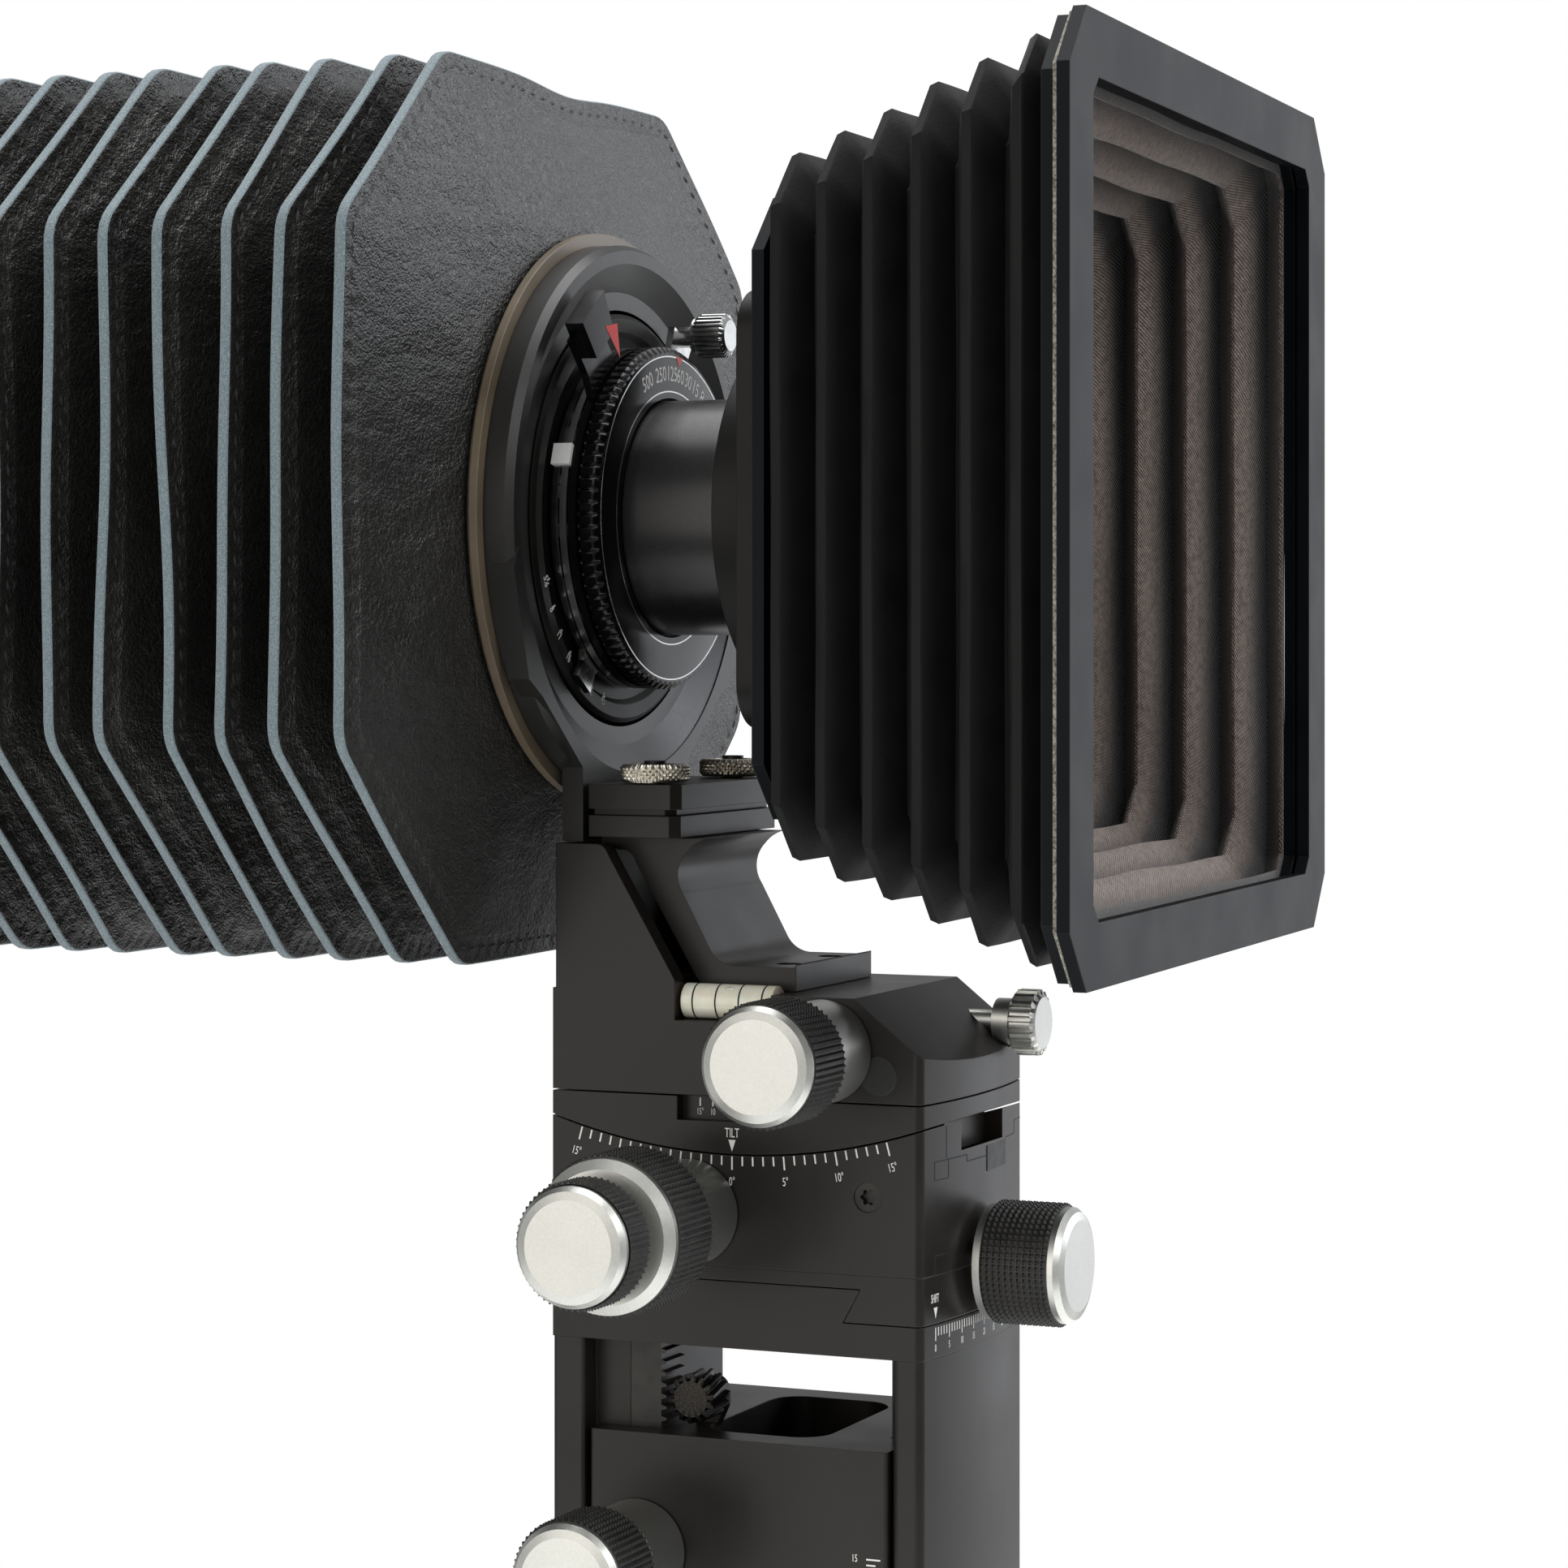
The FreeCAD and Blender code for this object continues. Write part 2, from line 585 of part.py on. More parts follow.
def cocking_lever():
    """Black cocking lever with its bent tab, top near corner of the shutter."""
    arm = lever(128, 16, (36.0, 44.0), (27.6, 29.0))
    tab = face_on([polar(38.5, 121), polar(46.6, 121), polar(46.6, 134), polar(38.5, 134)],
                  (25.4, 29.0))
    return arm.fuse(tab)


def release_lever():
    """Bright release lever with a round button, top far side of the shutter."""
    arm = lever(62, 12, (34.0, 39.0), (29.35, 30.65))
    x, z = polar(39.0, 62)
    button = rod("y", (x, 20.4, z), 3.6, 6.0).fuse(rod("y", (x, 20.4, z), 2.0, 10.25))
    return arm.fuse(button)


def aperture_lever():
    """Pointer that sets the aperture, lower near side of the shutter."""
    return lever(236, 9, (33.0, 36.5), (31.0, 32.2))


def front_cell():
    """Front lens barrel with a stepped mouth and the thread that enters the shutter."""
    return turned([(12.0, 28.0), (12.9, 28.0), (12.9, 23.0), (BARREL_R, 23.0), (BARREL_R, 1.6),
                   (19.8, 1.6), (19.0, 3.8), (17.0, 3.8), (17.0, 9.7), (15.4, 9.7), (15.4, 12.4),
                   (12.0, 23.0)])


def lens_disc(r, y, bulge):
    """Glass disc between two Y limits whose faces bulge by the two given heights."""
    disc = rod("y", (0, y[0], 0), r, y[1] - y[0])
    for rise, edge, way in ((bulge[0], y[0], 1), (bulge[1], y[1], -1)):
        if rise > 0:
            ball = (r * r + rise * rise) / (2 * rise)
            disc = disc.common(Part.makeSphere(ball, V(0, edge + way * ball, 0)))
    return disc


def front_lens():
    """Front element, bulging both ways."""
    return lens_disc(16.9, (3.9, 9.6), (2.6, 1.2))


def rear_cell():
    """Rear lens barrel behind the board."""
    return turned([(12.4, 28.4), (14.9, 28.4), (14.9, 38.95), (19.0, 38.95), (19.0, 58.0),
                   (15.2, 58.0), (13.7, 55.1), (13.7, 50.9), (12.4, 50.9)])


def rear_lens():
    """Rear element, flat inside and bulging outward."""
    return lens_disc(13.6, (51.0, 55.0), (0, 2.4))


# ---------------------------------------------------------------- hood

def hood_adapter():
    """Boss that slips over the lens barrel and the plate that carries the hood."""
    plate_body = box((-54, 54), (-17.2, -13.7), (-37, 37))
    plate_body = soften(plate_body, 8.0, lambda m, d: abs(d.y) > 0.999)
    boss = rod("y", (0, -13.8, 0), 32.3, 14.5)
    bore = turned([(0, -18), (30.0, -18), (30.0, -12), (BARREL_R + 0.05, -2), (BARREL_R + 0.05, 2),
                   (0, 2)])
    return plate_body.fuse(boss).cut(bore)


def frame(outer, inner, y, skew=0.0):
    """Flat frame between two octagons, pushed back along Y."""
    a = Part.Face(octagon(*outer, y[0], skew)).extrude(V(0, y[1] - y[0], 0))
    b = Part.Face(octagon(*inner, y[0] - 1, skew)).extrude(V(0, y[1] - y[0] + 2, 0))
    return a.cut(b)


def hood_rear_frame():
    return frame(HOOD_REAR, (46, 32, 5, 5), (-19.6, -17.4))


def hood_sections():
    """Sections of the hood bellows from its rear frame forward."""
    y0, y1 = -19.8, -74.4
    step = (y1 - y0) / HOOD_FOLDS
    out = []
    for i in range(HOOD_FOLDS + 1):
        k = i / HOOD_FOLDS
        w, h = 53.0 + 22.0 * k, 49.6 + 18.0 * k
        skew = HOOD_SKEW * k
        out.append((w, h, 8.0, 8.0, y0 + i * step, skew))
        if i < HOOD_FOLDS:
            k = (i + 0.5) / HOOD_FOLDS
            w, h = 61.0 + 22.0 * k, 57.0 + 17.0 * k
            out.append((w, h, 9.0, 9.0, y0 + (i + 0.5) * step, HOOD_SKEW * k))
    return out


def hood_flange():
    """Rear half of the mask frame, which clamps the hood's cloth."""
    return frame((84.8, 75.8, 9.0, 9.6), (74.0, 67.5, 4, 4), (-76.6, -74.6), HOOD_SKEW)


def hood_mask_frame():
    """Front half of the mask frame with the slot for filters behind its face."""
    w, h, cx, cz = HOOD_FRONT
    face = frame(HOOD_FRONT, (73.0, 66.5, 3, 3), (HOOD_Y, HOOD_Y + 2.2), HOOD_SKEW)
    lip = frame((w - 2.2, h - 2.2, cx, cz), (74.5, 68.0, 3, 3), (HOOD_Y + 2.1, -76.8), HOOD_SKEW)
    return face.fuse(lip)


# ---------------------------------------------------------------- camera bellows and rear standard

def bellows_sections():
    """Sections of the leather bellows from the lens ring back to the rear frame."""
    out = [(50.0, 50.0, 20.0, 20.0, 38.6, 0.0)]
    for i in range(LEAVES):
        y = LEAF_FIRST + i * LEAF_PITCH
        out.append(LEAF + (y - 1.0, 0.0))
        out.append(LEAF + (y + 1.0, 0.0))
        if i < LEAVES - 1:
            out.append(VALLEY + (y + LEAF_PITCH / 2, 0.0))
    out.append((66.0, 66.0, 26.0, 22.0, REAR_FRAME_Y - 0.2, 0.0))
    return out


def rear_riser():
    """Bracket that stands on the rear carriage and holds the rear frame."""
    y = REAR_FRAME_Y + 8.2 - (REAR.y - FRONT.y)
    foot = box((-HALF, HALF), (y, 27), (CARRIAGE_TOP + 0.05, -154))
    leg = side([(y, -160), (y, -66), (y + 8, -66), (y + 8, -120), (y + 26, -154), (y + 26, -160)],
               (-HALF, HALF))
    web = box((-17, 17), (y + 8, y + 40), (-153.9, -119))
    return foot.fuse(leg).cut(web)


def square_frame(half, opening, y, corner=6.0):
    """Square frame around a rectangular opening."""
    body = box((-half[0], half[0]), y, (-half[1], half[1]))
    body = soften(body, corner, lambda m, d: abs(d.y) > 0.999)
    return body.cut(box((-opening[0], opening[0]), (y[0] - 1, y[1] + 1),
                        (-opening[1], opening[1])))


def rear_frame():
    """Rear standard's frame that takes the bellows and the back."""
    return square_frame((84, 82), (62, 50), (REAR_FRAME_Y, REAR_FRAME_Y + 8))


def ground_glass_frame():
    """Spring back that holds the focusing screen."""
    y = REAR_FRAME_Y + 8.2
    body = square_frame((78, 62), (61, 49), (y, y + 9), 4.0)
    return body.cut(box((-64, 64), (y - 1, y + 3.4), (-52, 52)))


def ground_glass():
    """Frosted focusing screen."""
    y = REAR_FRAME_Y + 8.3
    return box((-63.6, 63.6), (y, y + 3.1), (-51.6, 51.6))


# ---------------------------------------------------------------- write every part

for part_name, shape in (
        ("monorail", monorail()), ("rail_rack", rail_rack()), ("rail_end_caps", rail_end_caps()),
        ("tripod_block", tripod_block()), ("tripod_clamp_knob", tripod_clamp_knob())):
    save(part_name, shape)

for part_name, shape in (
        ("front_carriage", front_carriage()),
        ("front_focus_knob", focus_knob()),
        ("front_focus_lock", front_focus_lock()),
        ("front_rise_knob", knob_core(RISE_KNOB, -55.5, -41.0, depth=4.4)),
        ("front_rise_grip", knob_grip(RISE_KNOB, -55.5, -41.0)),
        ("front_rise_pinion", rise_pinion()),
        ("front_rear_post", rear_post()),
        ("front_face_post", face_post()),
        ("front_rise_rack", rise_rack()),
        ("front_shift_base", shift_base()),
        ("front_shift_slide", shift_slide()),
        ("front_tilt_base", tilt_base()),
        ("front_tilt_base_screws", tilt_base_screws()),
        ("front_shift_knob", front_knob(SHIFT_KNOB, (-55.6, -39.2))),
        ("front_shift_grip", tube("y", (SHIFT_KNOB[0], -53.0, SHIFT_KNOB[1]), CAP_R + 0.2,
                                  CAP_R - 1.6, 12.4)),
        ("front_tilt_knob", tilt_knob()),
        ("front_tilt_grip", tilt_grip()),
        ("front_tilt_lock", tilt_lock()),
        ("front_tilt_cradle", tilt_cradle()),
        ("front_swing_housing", swing_housing()),
        ("spirit_level", spirit_level()),
        ("front_swing_knob", knob_core(SWING_KNOB, -55.2, -40.7)),
        ("front_swing_grip", knob_grip(SWING_KNOB, -55.2, -40.7)),
        ("front_swing_lock", swing_lock()),
        ("gooseneck", gooseneck()),
        ("gooseneck_screws", gooseneck_screws()),
        ("clamp_plate_lower", clamp_plate_lower()),
        ("clamp_plate_upper", clamp_plate_upper()),
        ("clamp_nut_near", clamp_nut(-17)),
        ("clamp_nut_far", clamp_nut(17)),
        ("lens_ring_holder", lens_ring_holder()),
        ("bellows_ring", bellows_ring()),
        ("lens_board", lens_board()),
        ("shutter_body", shutter_body()),
        ("shutter_speed_ring", speed_ring()),
        ("cocking_lever", cocking_lever()),
        ("release_lever", release_lever()),
        ("aperture_lever", aperture_lever()),
        ("front_cell", front_cell()),
        ("front_lens", front_lens()),
        ("rear_cell", rear_cell()),
        ("rear_lens", rear_lens()),
        ("hood_adapter", hood_adapter()),
        ("hood_rear_frame", hood_rear_frame()),
        ("hood_bellows", pleated(hood_sections(), 1.7)),
        ("hood_flange", hood_flange()),
        ("hood_mask_frame", hood_mask_frame()),
        ("leather_bellows", pleated(bellows_sections(), LEATHER)),
        ("rear_frame", rear_frame()),
        ("ground_glass_frame", ground_glass_frame()),
        ("ground_glass", ground_glass())):
    save(part_name, shape, FRONT)

for part_name, shape in (
        ("rear_carriage", carriage()),
        ("rear_focus_knob", focus_knob()),
        ("rear_riser", rear_riser())):
    save(part_name, shape, REAR)
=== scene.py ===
"""Monorail view camera: finishes for the machined frame, and the soft and fine pieces around it.

Lengths are millimetres from the crossing of the tilt and lens axes of the front standard, with X
across the camera, Y back along the lens axis and Z up, and place() turns them into the frame's
metres.
"""

import json

import bmesh
import bpy
import numpy as np
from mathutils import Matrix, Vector


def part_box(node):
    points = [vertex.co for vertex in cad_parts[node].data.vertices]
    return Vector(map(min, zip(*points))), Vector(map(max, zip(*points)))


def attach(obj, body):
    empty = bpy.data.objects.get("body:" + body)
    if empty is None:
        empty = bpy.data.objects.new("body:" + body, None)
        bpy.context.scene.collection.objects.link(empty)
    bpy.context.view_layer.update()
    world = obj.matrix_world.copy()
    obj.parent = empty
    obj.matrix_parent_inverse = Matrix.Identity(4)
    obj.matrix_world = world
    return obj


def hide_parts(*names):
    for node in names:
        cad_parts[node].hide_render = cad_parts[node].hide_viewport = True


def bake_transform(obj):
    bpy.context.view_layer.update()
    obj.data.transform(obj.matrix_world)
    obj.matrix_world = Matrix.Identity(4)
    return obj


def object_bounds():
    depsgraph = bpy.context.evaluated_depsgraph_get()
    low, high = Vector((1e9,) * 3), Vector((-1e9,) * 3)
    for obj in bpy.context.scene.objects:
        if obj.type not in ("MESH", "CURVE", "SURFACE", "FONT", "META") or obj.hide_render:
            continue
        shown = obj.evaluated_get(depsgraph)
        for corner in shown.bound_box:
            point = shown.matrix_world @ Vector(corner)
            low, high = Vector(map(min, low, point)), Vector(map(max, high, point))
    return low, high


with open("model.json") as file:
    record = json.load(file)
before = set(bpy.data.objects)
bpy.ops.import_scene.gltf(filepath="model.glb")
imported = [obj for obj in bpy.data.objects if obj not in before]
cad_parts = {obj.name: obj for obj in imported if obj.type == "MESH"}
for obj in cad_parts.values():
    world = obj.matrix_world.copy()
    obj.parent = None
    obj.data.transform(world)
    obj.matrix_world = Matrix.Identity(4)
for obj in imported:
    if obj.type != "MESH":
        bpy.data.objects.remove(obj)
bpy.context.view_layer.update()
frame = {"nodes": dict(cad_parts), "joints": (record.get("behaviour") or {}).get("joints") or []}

MM = 0.001
JOINTS = {joint["name"]: joint for joint in frame["joints"]}
TILT_AXIS = np.array(JOINTS["front_tilt"]["pos_m"])


def place(points):
    """Millimetres about the tilt axis to metres in the frame."""
    return np.asarray(points, float) * MM + TILT_AXIS


def axis_of(joint):
    """A point on a joint's axis, in millimetres about the tilt axis."""
    return (np.array(JOINTS[joint]["pos_m"]) - TILT_AXIS) / MM


def span(node):
    """Lowest and highest corner of a CAD node, in millimetres about the tilt axis."""
    low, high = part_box(node)
    return (np.array(low) - TILT_AXIS) / MM, (np.array(high) - TILT_AXIS) / MM


HALF = 25.0                   # half width of every block of the front standard
NOSE, NOSE_R = -37.7, 142.0   # crown and radius of the rounded front faces
PAINT = 0.05                  # thickness of engraving paint
STITCH_PITCH = 4.0            # one stitch to the next along a sewn edge
SEAM_INSET = 2.8              # seam to cut edge


# ---------------- materials

def linear(code):
    """sRGB hex value as linear RGBA."""
    c = np.array([int(code[i:i + 2], 16) / 255 for i in (1, 3, 5)])
    c = np.where(c <= 0.04045, c / 12.92, ((c + 0.055) / 1.055) ** 2.4)
    return (*c, 1.0)


def add(tree, kind, links=None, stops=(), out=0, **settings):
    """Adds a node and returns one of its outputs. Links give an input a value or another node's
    output, stops are a colour ramp's (position, sRGB hex), settings are the node's own."""
    made = tree.nodes.new("ShaderNode" + kind)
    for key, value in settings.items():
        setattr(made, key, value)
    for k, (position, code) in enumerate(stops):
        rung = made.color_ramp.elements[k] if k < 2 else made.color_ramp.elements.new(position)
        rung.position, rung.color = position, linear(code)
    for key, value in (links or {}).items():
        if isinstance(value, bpy.types.NodeSocket):
            tree.links.new(value, made.inputs[key])
        else:
            made.inputs[key].default_value = value
    return made.outputs[out] if len(made.outputs) else None


def begin(name):
    """New node material, its tree and object coordinates in millimetres."""
    made = bpy.data.materials.new(name)
    made.use_nodes = True
    made.node_tree.nodes.clear()
    spot = add(made.node_tree, "Mapping", {
        "Vector": add(made.node_tree, "TexCoord", out="Object"), "Scale": (1000, 1000, 1000)})
    return made, made.node_tree, spot


def close(tree, links):
    """Principled shader with these sockets set or linked, joined to the material's output."""
    add(tree, "OutputMaterial", {"Surface": add(tree, "BsdfPrincipled", links)})


def two_tone(tree, cloud, dark, light, rough, low=0.3):
    """Colour from dark to light and roughness between two values, both led by one cloud."""
    return {
        "Base Color": add(tree, "ValToRGB", {"Fac": cloud}, [(low, dark), (1 - low, light)]),
        "Roughness": add(tree, "MapRange", {"Value": cloud, "From Min": low, "From Max": 1 - low,
                         "To Min": rough[0], "To Max": rough[1]})}


def blasted(name, dark, light, rough, edge, specular):
    """Metal blasted with 0.12 mm beads, then dyed and anodised or stoved: a fine even grain, a
    sheen that wanders a little, and a painted highlight: a lighter colour along the edges."""
    made, tree, spot = begin(name)
    grain = add(tree, "TexNoise", {"Vector": spot, "Scale": 6.0, "Detail": 2.0})
    cloud = add(tree, "TexNoise", {"Vector": spot, "Scale": 0.06, "Detail": 4.0})
    base = two_tone(tree, cloud, dark, light, rough)
    corner = add(tree, "Bevel", {"Radius": 0.28 * MM}, samples=4)
    facing = add(tree, "VectorMath", {0: corner, 1: add(tree, "NewGeometry", out="Normal")},
                 out="Value", operation="DOT_PRODUCT")
    # Painted highlight: where the bevelled normal turns away from the face's own, at the edges, the
    # colour is mixed towards the lighter edge colour
    edge_highlight = add(tree, "MapRange",
               {"Value": facing, "From Min": 0.995, "From Max": 0.8, "To Max": 0.5})
    colour = add(tree, "Mix", {0: edge_highlight, 6: base["Base Color"], 7: linear(edge)}, out=2,
                 data_type="RGBA")
    normal = add(tree, "Bump",
                 {"Height": grain, "Distance": 0.012 * MM, "Strength": 0.6, "Normal": corner})
    close(tree, {**base, "Base Color": colour, "Normal": normal, "Specular IOR Level": specular})
    return made


def grained(name, dark, light, rough, grain=4.0, depth=0.01, broad=0.08, specular=0.5,
            **constants):
    """Plain finish: a two-colour cloud, a roughness that follows it and a fine surface grain of
    `grain` cells a millimetre."""
    made, tree, spot = begin(name)
    cloud = add(tree, "TexNoise", {"Vector": spot, "Scale": broad, "Detail": 4.0})
    fine = add(tree, "TexNoise", {"Vector": spot, "Scale": grain, "Detail": 3.0})
    close(tree, {**two_tone(tree, cloud, dark, light, rough), "Specular IOR Level": specular,
                 **constants,
                 "Normal": add(tree, "Bump", {"Height": fine, "Distance": depth * MM})})
    return made


def turned(name, dark, light, rough, axis, at=(0, 0, 0), pitch=0.14, depth=0.005, metallic=1.0):
    """Lathe-turned metal: rings `pitch` mm apart about the part's own axis, coarser than a real
    fine cut so that they show, under a satin sheen."""
    made, tree, spot = begin(name)
    centred = add(tree, "VectorMath", {0: spot, 1: [-v / MM for v in place(at)]})
    rings = add(tree, "TexWave", {"Vector": centred, "Scale": 0.3142 / pitch, "Distortion": 0.5,
                                  "Detail": 2.0}, out="Fac", wave_type="RINGS",
                rings_direction=axis)
    cloud = add(tree, "TexNoise", {"Vector": spot, "Scale": 2.6, "Detail": 3.0})
    close(tree, {**two_tone(tree, cloud, dark, light, rough, 0.25), "Metallic": metallic,
                 "Normal": add(tree, "Bump", {"Height": rings, "Distance": depth * MM})})
    return made


def cowhide():
    """Black chrome-tanned cowhide: pebbles about 0.9 mm across between fine creases, a soft
    polish on the crests, and puckers that the thread draws in along each sewn edge. The UV map
    gives the way along the edge and the distance in from it, in metres."""
    made, tree, spot = begin("leather_black_cowhide")
    warp = add(tree, "TexNoise", {"Vector": spot, "Scale": 0.5, "Detail": 3.0}, out="Color")
    bent = add(tree, "VectorMath", {0: spot, 1: warp})
    coarse = add(tree, "TexVoronoi", {"Vector": bent, "Scale": 1.05})
    small = add(tree, "TexVoronoi", {"Vector": bent, "Scale": 2.3})
    pebble = add(tree, "Math", {0: coarse, 1: small}, operation="ADD")
    folds = add(tree, "TexNoise", {"Vector": add(tree, "Mapping", {
        "Vector": spot, "Scale": (0.07, 0.07, 0.12)}), "Scale": 1.0, "Detail": 5.0})
    seam = add(tree, "TexCoord", out="UV")
    along, inward = (add(tree, "SeparateXYZ", {0: seam}, out=k) for k in (0, 1))
    turn = add(tree, "Math", {0: along, 1: 6283.2 / STITCH_PITCH}, operation="MULTIPLY")
    wave = add(tree, "Math", {0: turn}, operation="SINE")
    off = add(tree, "MapRange", {
        "Value": inward, "From Min": (SEAM_INSET - 2.4) * MM, "From Max": (SEAM_INSET + 2.4) * MM,
        "To Min": -1.0, "To Max": 1.0})
    square = add(tree, "Math", {0: off, 1: off}, operation="MULTIPLY")
    near = add(tree, "Math", {0: 1.0, 1: square}, operation="SUBTRACT")
    pucker = add(tree, "Math", {0: wave, 1: near}, operation="MULTIPLY")
    normal = add(tree, "Bump", {"Height": near, "Distance": -0.3 * MM})
    normal = add(tree, "Bump", {"Height": pucker, "Distance": 0.1 * MM, "Normal": normal})
    normal = add(tree, "Bump", {"Height": folds, "Distance": 1.6 * MM, "Normal": normal})
    normal = add(tree, "Bump", {"Height": pebble, "Distance": -0.16 * MM, "Normal": normal})
    cloud = add(tree, "TexNoise", {"Vector": spot, "Scale": 0.035, "Detail": 4.0})
    close(tree, {
        "Base Color": add(tree, "ValToRGB", {"Fac": cloud}, [(0.3, "#121211"), (0.7, "#201f1d")]),
        "Roughness": add(tree, "MapRange", {
            "Value": pebble, "From Max": 1.4, "To Min": 0.31, "To Max": 0.5}),
        "Normal": normal, "Specular IOR Level": 0.85})
    return made


def raw_leather():
    """Cut edge of chrome-tanned leather: pale blue-grey fibre, quite matt."""
    made, tree, spot = begin("leather_raw_cut_edge")
    fibre = add(tree, "TexNoise", {"Vector": spot, "Scale": 3.2, "Detail": 5.0, "Roughness": 0.7})
    close(tree, {
        "Base Color": add(tree, "ValToRGB", {"Fac": fibre}, [
            (0.25, "#4a5a62"), (0.75, "#a3b1b6"), (0.5, "#72838a")]),
        "Normal": add(tree, "Bump", {"Height": fibre, "Distance": 0.25 * MM}),
        "Roughness": 0.9, "Specular IOR Level": 0.25, "Sheen Weight": 0.3,
        "Sheen Roughness": 0.6})
    return made


def twill(name, dark, light, pitch, fuzz):
    """Woven cotton twill: slanting ribs `pitch` mm apart, a little coarser than the real cloth so
    that they show, with uneven yarns, a matt, fuzzy face and painted shade: near black deep in
    the folds, where ambient occlusion finds the cloth closed in. It follows the UV map in metres."""
    made, tree, spot = begin(name)
    cloth = add(tree, "Mapping", {"Vector": add(tree, "TexCoord", out="UV"),
                                  "Scale": (1000, 1000, 1000), "Rotation": (0, 0, 0.86)})
    wobble = add(tree, "TexNoise", {"Vector": cloth, "Scale": 1.3, "Detail": 2.0}, out="Color")
    bent = add(tree, "VectorMath", {0: wobble, 1: (0.3, 0.3, 0.3), 2: cloth},
               operation="MULTIPLY_ADD")
    ribs = add(tree, "TexWave", {"Vector": bent, "Scale": 0.3142 / pitch}, out="Fac")
    yarn = add(tree, "TexWave", {"Vector": bent, "Scale": 0.3142 / pitch}, out="Fac",
               bands_direction="Y")
    weave = add(tree, "Math", {0: yarn, 1: 0.4, 2: ribs}, operation="MULTIPLY_ADD")
    cloud = add(tree, "TexNoise", {"Vector": spot, "Scale": 0.9, "Detail": 4.0})
    # Painted shade: the colour goes to near black where ambient occlusion finds the cloth closed
    # in, deep in the folds
    occlusion = add(tree, "AmbientOcclusion", {"Distance": 7 * MM}, out="AO", samples=8)
    fold_shade = add(tree, "MapRange", {"Value": occlusion, "From Min": 0.45, "From Max": 0.9})
    tone = add(tree, "Math", {0: weave, 1: cloud}, operation="MULTIPLY")
    cotton = add(tree, "ValToRGB", {"Fac": tone}, [(0.1, dark), (0.7, light)])
    close(tree, {
        "Base Color": add(
            tree, "Mix", {0: fold_shade, 6: linear("#080707"), 7: cotton}, out=2, data_type="RGBA"),
        "Normal": add(tree, "Bump", {"Height": weave, "Distance": 0.12 * MM}),
        "Roughness": 0.95, "Specular IOR Level": 0.1, "Sheen Weight": fuzz,
        "Sheen Roughness": 0.5})
    return made


def glass(name, tint, rough, **constants):
    """Ground and polished glass: clear, with the faintest haze of handling on its surface."""
    made, tree, spot = begin(name)
    haze = add(tree, "TexNoise", {"Vector": spot, "Scale": 0.2, "Detail": 5.0})
    close(tree, {
        "Base Color": add(tree, "ValToRGB", {"Fac": haze}, [(0.3, tint), (0.7, "#ffffff")]),
        "Roughness": add(tree, "MapRange", {"Value": haze, "To Min": rough[0], "To Max": rough[1]}),
        **constants})
    return made


hide = cowhide()
cut_edge = raw_leather()
thread = grained("polyester_thread_black", "#0e0e0e", "#2c2b2a", (0.4, 0.6), 9.0, 0.05, 0.5)
# The fifth value of each blasted finish is the colour of its painted edge highlight
anodised = blasted("aluminium_black_anodised_blasted", "#0d0d0c", "#141312", (0.34, 0.44),
                   "#3d3935", 0.16)
enamel = blasted("steel_black_stove_enamelled", "#0c0f12", "#12161a", (0.34, 0.42), "#5d5750",
                 0.06)
brown_black = blasted("aluminium_brown_black_anodised", "#171513", "#221f1c", (0.32, 0.4),
                      "#4c453f", 0.3)
bronze = blasted("aluminium_bronze_anodised", "#53493b", "#6b5f4e", (0.3, 0.38), "#8b7f6c", 0.6)
chromed_black = grained("brass_black_chromed", "#060607", "#0b0b0c", (0.16, 0.22), 2.0, 0.004, 0.3,
                        0.25)
bright = grained("steel_chromed_polished", "#b7b8b8", "#d3d4d3", (0.16, 0.26), 3.0, 0.004, 0.3,
                 Metallic=1.0)
nickel = turned("brass_nickel_plated_knurled", "#cfc8b9", "#e2dccd", (0.3, 0.4), "Z",
                axis_of("clamp_nut_near_turn"), 0.3)
rubber = grained("rubber_moulded_black", "#1b1b1a", "#2b2a28", (0.4, 0.55), 3.0, 0.012, 0.3, 0.45)
nylon = grained("nylon_moulded_black", "#121212", "#1b1b1b", (0.45, 0.6), 5.0, 0.03, 0.2)
white_paint = grained("engraving_paint_white", "#d9dad8", "#ecece9", (0.5, 0.6), 8.0)
red_paint = grained("engraving_paint_red", "#c01a12", "#e0281c", (0.35, 0.5), 8.0)
# Near black: its own colour on the level's rings and the screen's pencil grid, painted shade in the
# front seams and the screw slots
shadow = grained("near_black_and_painted_gap_shade", "#030303", "#060606", (0.6, 0.8), 6.0)
barrel = turned("aluminium_black_anodised_turned", "#0f0f10", "#161618", (0.26, 0.34), "Y",
                metallic=0.0)
hood_inside = twill("cotton_twill_brown", "#3a322e", "#a39388", 0.5, 0.4)
hood_outside = grained("cotton_rubber_coated_black", "#050505", "#0b0b0b", (0.62, 0.75), 2.4, 0.05,
                       0.12, 0.3)
felt = grained("wool_felt_grey", "#4f4d44", "#b3b1a2", (0.9, 1.0), 2.2, 0.3, 2.0, 0.1,
               **{"Sheen Weight": 0.5})
acrylic = grained("acrylic_cast_cream", "#e9e6d0", "#f8f6e8", (0.12, 0.2), 1.0, 0.01, 0.3,
                  **{"Subsurface Weight": 0.3, "Subsurface Scale": 0.002})
lens_glass = glass("glass_coated_optical", "#f4f7ff", (0.0, 0.02), IOR=1.62,
                   **{"Transmission Weight": 1.0, "Coat Weight": 0.6, "Coat IOR": 1.9,
                      "Coat Tint": (0.55, 0.45, 0.9, 1.0)})
frosted = glass("glass_ground_screen", "#dfe5e2", (0.55, 0.7), IOR=1.5,
                **{"Transmission Weight": 0.75})
enamel_label = grained("aluminium_foil_label_grey", "#8e9ba2", "#a7b3b8", (0.3, 0.42), 3.0, 0.01,
                       0.3, Metallic=0.6)


# ---------------- mesh building

